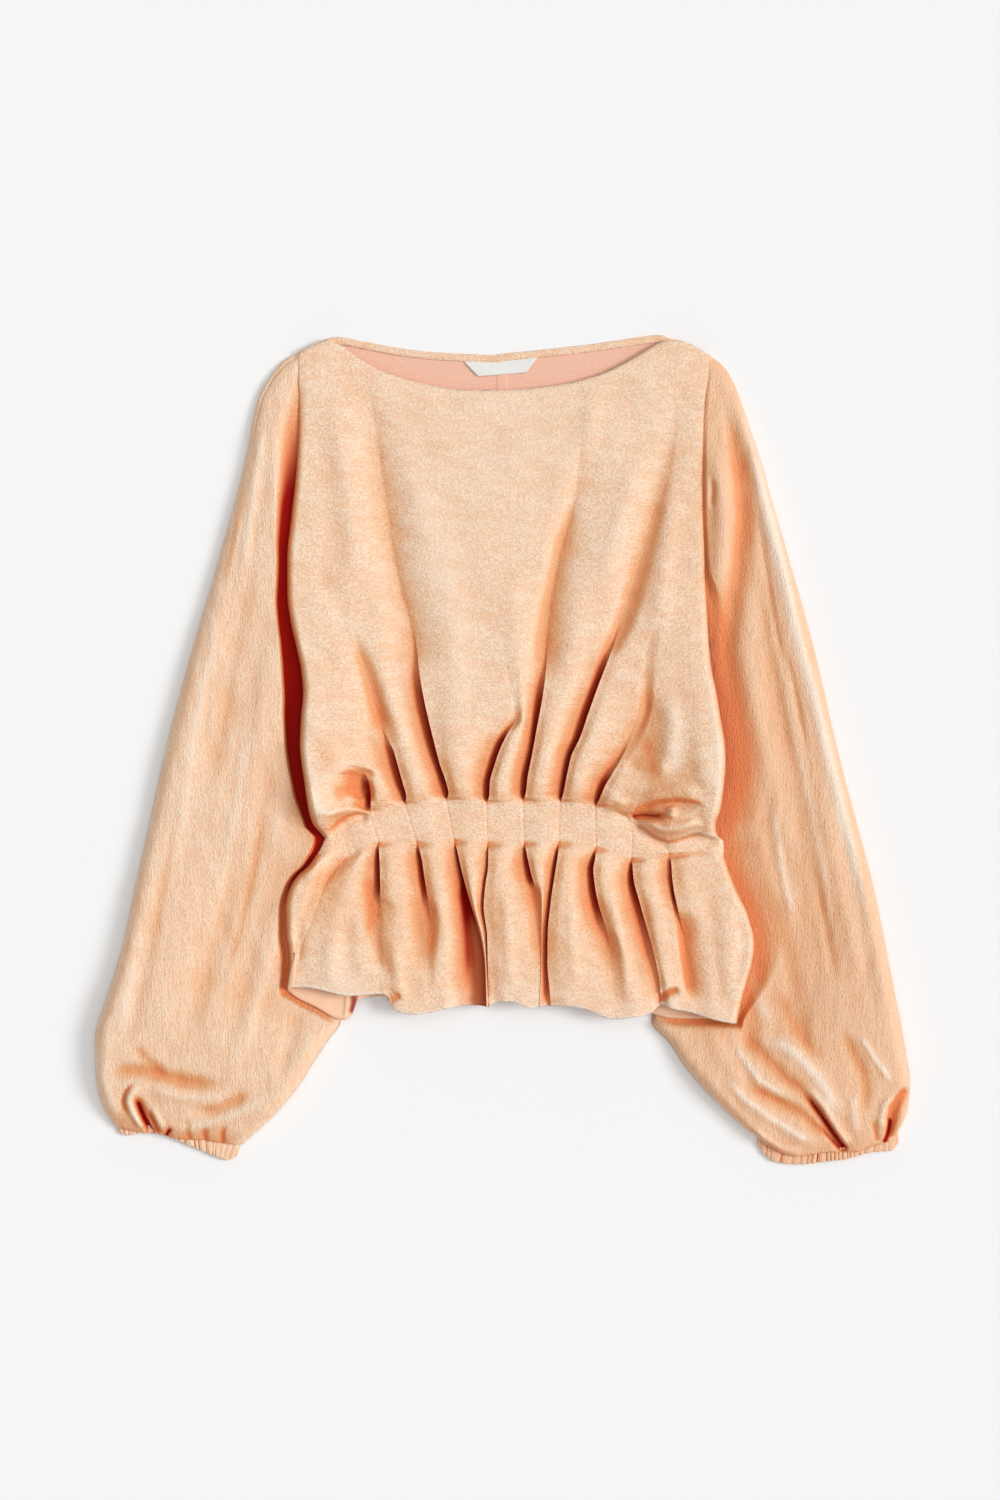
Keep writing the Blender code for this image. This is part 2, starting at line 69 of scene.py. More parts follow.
def curve(table, column=1):
    # a smooth curve through one column of a table, keyed by its first
    keys = np.array([row[0] for row in table], float)
    values = np.array([row[column] for row in table], float)
    slopes = np.diff(values) / np.diff(keys)
    tangents = np.zeros_like(values)
    tangents[0], tangents[-1] = slopes[0], slopes[-1]
    before, after = slopes[:-1], slopes[1:]
    rising = before * after > 0
    tangents[1:-1][rising] = 2 * before[rising] * after[rising] / (before[rising] + after[rising])

    def value(key):
        key = np.clip(np.asarray(key, float), keys[0], keys[-1])
        i = np.clip(np.searchsorted(keys, key, side="right") - 1, 0, len(keys) - 2)
        span = keys[i + 1] - keys[i]
        t = (key - keys[i]) / span
        return ((2 * t**3 - 3 * t**2 + 1) * values[i] + (t**3 - 2 * t**2 + t) * span * tangents[i]
                + (3 * t**2 - 2 * t**3) * values[i + 1] + (t**3 - t**2) * span * tangents[i + 1])
    return value


def place(px, py, height):
    return np.stack([(np.asarray(px, float) - photo["middleX"]) * metrePerPx,
                     (photo["middleY"] - np.asarray(py, float)) * metrePerPx,
                     np.asarray(height, float) * mm], axis=-1)


def crease(path, width, height=0.0, tone=0.0, deepShade=0.0, taper=(0.25, 0.25), lean=0.0):
    # one crease: its path, half width and height, how much painted shade it adds (below zero a painted
    # highlight), how much painted shade lies inside it, the tapered share at each end, and its lean to one
    # side
    return {"path": path, "width": width, "height": height, "tone": tone, "deepShade": deepShade, "taper": taper,
            "lean": lean}


def creaseField(px, py, one):
    # 1 along the middle of a crease, falling to 0 beside it and at its ends
    path = np.array(one["path"], float)
    best = np.full(px.shape, 1e9)
    side, along = np.zeros(px.shape), np.zeros(px.shape)
    lengths = np.hypot(*np.diff(path, axis=0).T)
    total = lengths.sum()
    walked = 0.0
    for (x0, y0), (x1, y1), length in zip(path[:-1], path[1:], lengths):
        dx, dy = (x1 - x0) / length, (y1 - y0) / length
        t = np.clip((px - x0) * dx + (py - y0) * dy, 0.0, length)
        offX, offY = px - x0 - t * dx, py - y0 - t * dy
        distance = np.hypot(offX, offY)
        nearer = distance < best
        best = np.where(nearer, distance, best)
        side = np.where(nearer, np.sign(dx * offY - dy * offX), side)
        along = np.where(nearer, (walked + t) / total, along)
        walked += length
    reach = one["width"] * np.where(side > 0, 1.0 + one["lean"], 1.0 - one["lean"])
    start, end = one["taper"]
    return np.exp(-(best / reach) ** 2 * 2.0) * smoothed(along / start) * smoothed((1.0 - along) / end)


def creased(px, py, creases):
    # what all the creases add: height, painted shade and highlight, and painted shade inside the fold
    totals = np.zeros((3, *np.shape(px)))
    for one in creases:
        field = creaseField(px, py, one)
        for total, part in zip(totals, ("height", "tone", "deepShade")):
            total += one[part] * field
    return totals


def rumple(px, py, size, seed, stretch=(1.0, 1.0), turn=0.0):
    # smooth, fixed unevenness of the cloth, from -1 to 1
    rng = np.random.default_rng(seed)
    total = np.zeros(np.shape(px))
    c, s = math.cos(turn), math.sin(turn)
    u, v = (px * c + py * s) / stretch[0], (-px * s + py * c) / stretch[1]
    for _ in range(14):
        angle, phase = rng.uniform(0, math.pi), rng.uniform(0, 2 * math.pi)
        wave = size * rng.uniform(0.6, 1.7)
        total += np.sin((u * math.cos(angle) + v * math.sin(angle)) * 2 * math.pi / wave + phase)
    return total / 5.0


def gridMesh(name, points, flip=False, closed=False, depth=None, shaded=None, paintedShading=None):
    # a sheet from rows of points; each point's painted shade and highlight are kept on the mesh for its
    # colour
    rows, count = points.shape[:2]
    index = np.arange(rows * count).reshape(rows, count)
    a, b = index[:-1, :-1], index[1:, :-1]
    c, d = index[1:, 1:], index[:-1, 1:]
    if closed:
        a, b = index[:-1, :], index[1:, :]
        c, d = np.roll(index, -1, axis=1)[1:, :], np.roll(index, -1, axis=1)[:-1, :]
    quads = np.stack([a, b, c, d], axis=-1).reshape(-1, 4)
    if flip:
        quads = quads[:, ::-1]
    mesh = bpy.data.meshes.new(name)
    mesh.from_pydata(points.reshape(-1, 3).tolist(), [], quads.tolist())
    mesh.polygons.foreach_set("use_smooth", [True] * len(mesh.polygons))
    for label, values in (("paintedFoldShade", depth), ("shaded", shaded), ("paintedShading", paintedShading)):
        if values is not None:
            layer = mesh.attributes.new(label, "FLOAT", "POINT")
            layer.data.foreach_set("value", np.ascontiguousarray(values.reshape(-1), dtype=np.float32))
    mesh.update()
    obj = bpy.data.objects.new(name, mesh)
    bpy.context.scene.collection.objects.link(obj)
    return obj


def pixelsOf(obj):
    count = len(obj.data.vertices)
    places = np.empty(count * 3)
    obj.data.vertices.foreach_get("co", places)
    places = places.reshape(-1, 3)
    return (places[:, 0] / metrePerPx + photo["middleX"], photo["middleY"] - places[:, 1] / metrePerPx,
            places[:, 2] / mm)


def boxBlur(grid, radius):
    for axis in (0, 1):
        pad = [(radius + 1, radius) if a == axis else (0, 0) for a in (0, 1)]
        total = np.cumsum(np.pad(grid, pad), axis=axis)
        size = grid.shape[axis]
        ahead = np.take(total, np.arange(2 * radius + 1, 2 * radius + 1 + size), axis=axis)
        behind = np.take(total, np.arange(0, size), axis=axis)
        grid = (ahead - behind) / (2 * radius + 1)
    return grid


# painted shade: grid cell, blur radius and share of each look round, depth that counts as full shade,
# share of painted highlight on what stands above its surroundings, how much painted shade a slope
# turned from the light adds, and how much the bare table counts
shading = {
    "cell": 4.0, "looks": ((3, 0.6), (7, 0.4)), "reach": 4.5, "raised": 0.45, "turned": 1.1,
    "table": 0.35, "clothOver": 0.3,
}


def shadeHollows(pieces):
    # painted shade and highlight: each point learns how far it lies below the cloth round it, and how far
    # it turns away from the key light, to the left and down
    cell = shading["cell"]
    shape = (int(photo["height"] / cell), int(photo["width"] / cell))
    top = np.zeros(shape)
    for piece in pieces:
        px, py, height = pixelsOf(piece)
        row = np.clip(py / cell, 0, shape[0] - 1).astype(int)
        column = np.clip(px / cell, 0, shape[1] - 1).astype(int)
        np.maximum.at(top, (row, column), height)
    weight = mix(shading["table"], 1.0, (top > shading["clothOver"]).astype(float))
    for number, (radius, share) in enumerate(shading["looks"]):
        level = boxBlur(boxBlur(top * weight, radius), radius) / boxBlur(boxBlur(weight, radius), radius)
        for piece in pieces:
            px, py, height = pixelsOf(piece)
            x, y = np.clip(px / cell - 0.5, 0, shape[1] - 1.01), np.clip(py / cell - 0.5, 0, shape[0] - 1.01)
            i, j = y.astype(int), x.astype(int)
            u, v = y - i, x - j
            around = (level[i, j] * (1 - u) * (1 - v) + level[i + 1, j] * u * (1 - v)
                      + level[i, j + 1] * (1 - u) * v + level[i + 1, j + 1] * u * v)
            named = piece.data.attributes
            layer = named.get("paintedShading") or named.new("paintedShading", "FLOAT", "POINT")
            values, shaded = np.empty((2, len(height)), dtype=np.float32)
            layer.data.foreach_get("value", values)
            named["shaded"].data.foreach_get("value", shaded)
            lower = (around - height) / shading["reach"]
            values += share * shaded * np.where(lower < 0, lower * shading["raised"], lower)
            if number == 0:
                normals = np.empty(len(height) * 3, dtype=np.float32)
                piece.data.vertex_normals.foreach_get("vector", normals)
                leftward, downward, flatness = -normals[0::3], -normals[1::3], normals[2::3]
                slope = np.clip(leftward, 0, 0.5) + np.clip(downward, 0, 0.5) * 0.7
                values += shading["turned"] * shaded * (slope + np.clip(1 - flatness, 0, 0.5))
            layer.data.foreach_set("value", values)


def dress(obj, wall, *cloths):
    # a wall of cloth on the side away from the faces, with the second cloth inside if there is one
    for cloth in cloths:
        obj.data.materials.append(cloth)
    solid = obj.modifiers.new("cloth", "SOLIDIFY")
    solid.thickness, solid.offset = wall, -1.0
    solid.material_offset = len(cloths) - 1
    return obj


# shader helpers
class Wire:
    # a node socket that can be used in arithmetic
    def __init__(self, kit, socket):
        self.kit, self.socket = kit, socket

    def calc(self, operation, first, second):
        return self.kit.add("ShaderNodeMath", {"operation": operation}, {0: first, 1: second})

    def __add__(self, other):
        return self.calc("ADD", self, other)

    def __radd__(self, other):
        return self.calc("ADD", other, self)

    def __sub__(self, other):
        return self.calc("SUBTRACT", self, other)

    def __rsub__(self, other):
        return self.calc("SUBTRACT", other, self)

    def __mul__(self, other):
        return self.calc("MULTIPLY", self, other)

    def __rmul__(self, other):
        return self.calc("MULTIPLY", other, self)


class ShaderKit:
    def __init__(self, name):
        self.material = bpy.data.materials.new(name)
        self.material.use_nodes = True
        self.tree = self.material.node_tree
        self.shader = self.tree.nodes["Principled BSDF"]

    def link(self, socket, value):
        if isinstance(value, Wire):
            self.tree.links.new(value.socket, socket)
        elif isinstance(value, (tuple, list)) and len(value) == 3 and socket.type == "RGBA":
            socket.default_value = (*value, 1.0)
        else:
            socket.default_value = value

    def add(self, kind, settings=None, inputs=None, output=0):
        node = self.tree.nodes.new(kind)
        for key, value in (settings or {}).items():
            setattr(node, key, value)
        for key, value in (inputs or {}).items():
            self.link(node.inputs[key], value)
        return Wire(self, node.outputs[output])

    def blend(self, share, first, second):
        return self.add("ShaderNodeMix", {"data_type": "RGBA"}, {0: share, 6: first, 7: second}, 2)

    def ramp(self, value, low, high):
        inputs = {0: value, 1: low, 2: high, 3: 0.0, 4: 1.0}
        return self.add("ShaderNodeMapRange", {"interpolation_type": "SMOOTHSTEP"}, inputs)

    def noise(self, place, scale, detail=2.0, rough=0.5, distort=0.0):
        return self.add("ShaderNodeTexNoise", None, {"Vector": place, "Scale": scale, "Detail": detail,
                                                     "Roughness": rough, "Distortion": distort})

    def stretched(self, place, scale, turn=0.0):
        return self.add("ShaderNodeMapping", None,
                        {"Vector": place, "Rotation": (0, 0, turn), "Scale": scale})

    def objectPlace(self):
        return self.add("ShaderNodeTexCoord", output=3)

    def kept(self, name):
        # a number kept at each point of the mesh
        return self.add("ShaderNodeAttribute", {"attribute_name": name}, output=2)

    def bump(self, strength, distance, height):
        return self.add("ShaderNodeBump", None,
                        {"Strength": strength, "Distance": distance, "Height": height})

    def finish(self, values):
        for name, value in values.items():
            self.link(self.shader.inputs[name], value)
        return self.material


# the satin's colours, with a painted highlight (crest) and painted shades (tan, valley, the deepest red
# and rich), its lustre and roughness, and its noises: scale, detail, roughness, distortion
satinLook = {
    "crest": (0.975, 0.800, 0.650), "light": (0.975, 0.735, 0.545), "base": (0.925, 0.572, 0.352),
    "tan": (0.850, 0.410, 0.190), "valley": (0.840, 0.250, 0.085), "deepShade": (0.32, 0.009, 0.006),
    "rich": (0.880, 0.430, 0.210), "lustre": (1.0, 0.90, 0.80), "roughness": 0.40,
    "slub": (45.0, 3.0, 0.6), "streak": (170.0, 3.0, 0.65), "grain": (420.0, 3.0, 0.6, 0.3),
    "cloud": (16.0, 2.0, 0.5), "grainStretch": 0.22,
}


def satinMaterial(name, turn, stretch, rich):
    # crinkled satin: weft slubs, fine crinkles and streaky lustre, with painted highlights on crests
    # and painted shade in hollows and deep inside the folds
    kit, look = ShaderKit(name), satinLook
    place3 = kit.objectPlace()
    woven = kit.stretched(place3, stretch, turn)
    slub, streak = kit.noise(woven, *look["slub"]), kit.noise(woven, *look["streak"])
    crinkled = kit.stretched(place3, tuple(1 + (part - 1) * look["grainStretch"] for part in stretch), turn)
    grain, cloud = kit.noise(crinkled, *look["grain"]), kit.noise(place3, *look["cloud"])
    tone = kit.ramp(slub * 0.20 + streak * 0.31 + grain * 0.43 + cloud * 0.06, 0.45, 0.555)
    # a share of the rich colour over the whole piece: painted shade on the sleeves' copies
    colour = kit.blend(rich, kit.blend(tone, look["base"], look["light"]), look["rich"])
    paintedShading, depth = kit.kept("paintedShading"), kit.kept("paintedFoldShade")
    # painted highlight on crests and painted shade in hollows and folds, frayed by the grain
    frayedShading = paintedShading + (streak - 0.5) * 1.2 + (grain - 0.5) * 1.6
    colour = kit.blend(kit.ramp(frayedShading * -1.0, 0.15, 1.1) * 0.85, colour, look["crest"])
    colour = kit.blend(kit.ramp(frayedShading, 0.0, 0.8), colour, look["tan"])
    colour = kit.blend(kit.ramp(paintedShading, 0.5, 1.6), colour, look["valley"])
    colour = kit.blend(kit.ramp(depth, 0.0, 0.55), colour, look["valley"])
    kit.finish({
        "Base Color": colour, "Roughness": (grain - 0.5) * 0.25 + (streak - 0.5) * 0.30 + look["roughness"],
        "Normal": kit.bump(1.0, 0.0022, grain * 0.55 + streak * 0.50 + slub * 0.45),
        "Sheen Weight": 0.05, "Sheen Roughness": 0.4, "Specular IOR Level": 0.5, "IOR": 1.48,
        "Specular Tint": (*look["lustre"], 1.0),
    })
    # painted shade: the deepest folds get a dark matt shader, as if no light reached inside them
    shadeInside = kit.add("ShaderNodeBsdfPrincipled", None,
                     {"Base Color": look["deepShade"], "Roughness": 1.0, "Specular IOR Level": 0.0})
    cloth = Wire(kit, kit.shader.outputs[0])
    surface = kit.add("ShaderNodeMixShader", None, {0: kit.ramp(depth, 0.25, 0.88), 1: cloth, 2: shadeInside})
    kit.link(kit.tree.nodes["Material Output"].inputs["Surface"], surface)
    return kit.material


# the matt inside of the cloth, which is more orange at the hem
reverseLook = {
    "dark": (0.840, 0.455, 0.315), "light": (0.885, 0.535, 0.395), "hem": (0.960, 0.620, 0.400),
    "hemFrom": (0.10, 0.20), "ribs": (220.0, 3.0, 0.6),
}


def reverseMaterial(name):
    kit, look = ShaderKit(name), reverseLook
    place3 = kit.objectPlace()
    grain = kit.noise(kit.stretched(place3, (1, 5, 1)), *look["ribs"])
    colour = kit.blend(kit.ramp(grain, 0.3, 0.7), look["dark"], look["light"])
    upward = kit.add("ShaderNodeSeparateXYZ", None, {0: place3}, 1)
    colour = kit.blend(kit.ramp(upward * -1.0, *look["hemFrom"]) * 0.8, colour, look["hem"])
    # painted shade inside the folds of the reverse
    colour = kit.blend(kit.ramp(kit.kept("paintedFoldShade"), 0.0, 1.0), colour, satinLook["deepShade"])
    return kit.finish({"Base Color": colour, "Roughness": grain * 0.15 + 0.68,
                       "Normal": kit.bump(0.35, 0.0006, grain)})


def threadMaterial(name, colour):
    kit = ShaderKit(name)
    twist = kit.noise(kit.stretched(kit.objectPlace(), (3, 1, 1), 0.6), 900.0, 2.0)
    darker = tuple(part * 0.82 for part in colour)
    return kit.finish({"Base Color": kit.blend(twist, darker, colour), "Roughness": twist * 0.2 + 0.4,
                       "Normal": kit.bump(0.5, 0.0002, twist)})


def labelMaterial(name, dark, light):
    kit = ShaderKit(name)
    rib = kit.add("ShaderNodeTexWave", {"wave_type": "BANDS", "bands_direction": "X"},
                  {"Vector": kit.objectPlace(), "Scale": 700.0, "Distortion": 0.6, "Detail": 1.0})
    return kit.finish({"Base Color": kit.blend(rib, dark, light), "Roughness": rib * 0.1 + 0.6,
                       "Normal": kit.bump(0.3, 0.0002, rib)})


print("materials")
bodySatin = satinMaterial("bodySatin", 0.0, (1.0, 2.8, 1.0), 0.0)
# the sleeves' copies of the satin lean to the rich colour, the right one far more: painted shade
leftSatin = satinMaterial("leftSleeveSatin", math.radians(-16), (4.5, 1.0, 1.0), 0.05)
rightSatin = satinMaterial("rightSleeveSatin", math.radians(16), (4.5, 1.0, 1.0), 0.42)
reverse = reverseMaterial("reverse")
thread = threadMaterial("thread", (0.80, 0.44, 0.24))
labelCloth = labelMaterial("labelCloth", (0.80, 0.775, 0.735), (0.86, 0.84, 0.80))


# body outlines shared by the pieces
frontTop = [
    (299, 351), (312, 344.4), (322, 339.7), (328, 337.9), (336, 342), (347, 348.6), (356, 355),
    (365, 361.5), (383, 371), (400, 376.6), (418, 381.5), (445, 387.3), (472, 389.6), (505, 389.4),
    (538, 387), (565, 383.2), (594, 376), (610, 370), (623, 363.5), (638, 355), (651, 347), (662, 341),
    (671, 338.5), (690, 343), (709, 354.5),
]
backTop = [
    (299, 351), (318, 341.5), (336, 335.5), (365, 340.5), (400, 347), (436, 351), (472, 353), (496, 353.9),
    (499, 353), (536, 349), (594, 342.5), (632, 337), (661, 333.5), (671, 337), (690, 342.5), (709, 354.5),
]
backHem = [
    (286, 990), (297, 998), (317, 1008), (336, 1019), (343, 1020.4), (350, 1017), (358, 1000), (380, 997),
    (520, 998), (620, 1003), (645, 1010), (653, 1014), (670, 1018.5), (686, 1019), (712, 1019), (738, 1021),
]
bandTop = [
    (318, 836), (326, 835.5), (339, 826), (353, 818), (369, 813), (405, 805.5), (446, 801), (486, 804.5),
    (523, 803.6), (560, 803.6), (595, 808.4), (633, 820), (645, 826), (657, 835), (669, 840), (676, 838.5),
    (689, 833.5), (697, 831.5), (708, 835), (719, 837), (724, 838),
]
bandBottom = [
    (314, 852), (330, 858), (349, 856), (378, 841), (415, 840), (453, 838), (487, 841), (524, 841),
    (559, 840), (596, 846), (631, 857), (669, 853), (700, 852), (726, 854),
]
frontHem = [
    (286, 990), (295, 986.5), (310, 987.5), (330, 991.5), (347, 995.5), (364, 994.6), (384, 993.5),
    (391, 1003), (397, 1011), (411, 1014), (431, 1012), (451, 1007.6), (468, 1005), (480, 1005.6),
    (489, 1007), (494, 1002), (511, 1001), (530, 1008), (540, 1005.6), (563, 1005.6), (589, 1010),
    (611, 1018.6), (620, 1018.6), (635, 1016.5), (649, 1013.5), (657, 1007), (662, 1004), (671, 1008),
    (691, 1012), (712, 1018.6), (727, 1022), (738, 1023.7),
]
sides = [
    (345, 299, 709), (372, 298.6, 708.5), (401, 298.4, 704.5), (433, 298, 703), (477, 295, 702.6),
    (513, 291, 703), (560, 286.5, 705), (592, 286.5, 706.5), (622, 290, 708), (646, 295.5, 709.5),
    (670, 300.5, 712.5), (692, 302.6, 717), (717, 300.6, 721), (745, 299.5, 725.4), (762, 301, 726),
    (776, 303, 725.2), (797, 306, 723), (812, 308.5, 720.5), (824, 312.5, 716.5), (832, 319, 716.8),
    (837, 325, 719), (841, 323.5, 724), (849, 320, 724.3), (857, 314.5, 725), (865, 309, 727.5),
    (876, 297, 731.5), (887, 290, 736), (900, 286, 742), (910, 285, 747), (923, 285.3, 751),
    (936, 286, 754.4), (948, 288, 755), (960, 289, 753.5), (971, 288.5, 751), (985, 287, 747),
    (1000, 286.4, 743), (1023, 286, 737.5),
]
leftSide, rightSide = curve(sides, 1), curve(sides, 2)
sleeveInner = [
    (655, 296, 712), (690, 300, 718), (730, 306, 716), (770, 314, 706), (815, 323, 697), (865, 332, 686),
    (910, 340, 676), (955, 345, 666), (995, 345, 659), (1024, 340, 651),
]
heights = {
    "backOverSleeve": 6.4, "sleeveUnderBody": 5.4,
    # y, height of the left and right armhole seam
    "armhole": [
        (345, 5.8, 5.8), (360, 7.2, 7.2), (375, 8, 8.2), (400, 7.2, 8.8), (440, 5.6, 9.4), (490, 4.8, 9.8),
        (660, 4.8, 9.6),
    ],
}


def backLift(px, py):
    # the back lies on the table and, at its sides, on the inner parts of the sleeves
    left, right = curve(sleeveInner, 1)(py), curve(sleeveInner, 2)(py)
    ramp = np.maximum(smoothed((left + 38 - px) / 24), smoothed((px - right + 38) / 24))
    return heights["backOverSleeve"] * ramp * smoothed((py - 664) / 26)


def armholeTop(py, side):
    return curve(heights["armhole"], 1 if side < 0 else 2)(py)


def seamTop(py, side):
    # the side seam lies on the armhole, then on the back's edge
    return mix(armholeTop(py, side), heights["backOverSleeve"] + 1.3, smoothed((py - 640) / 35))


# sewing shared by the pieces
stitching = {
    "length": 1.7 * mm, "gap": 0.8 * mm, "thick": 0.26 * mm, "lift": 0.06 * mm, "sides": 6,
    # share along a stitch, its girth there
    "girths": ((-0.5, 0.25), (-0.3, 0.85), (0, 1.0), (0.3, 0.85), (0.5, 0.25)),
    "hemInset": 3.6, "hemFrom": 288, "hemTo": 737, "neckRows": (2.3, 5.6), "neckFrom": 326, "neckTo": 671,
    "backSeam": (362, 392), "hemPoints": 220, "neckPoints": 120,
}


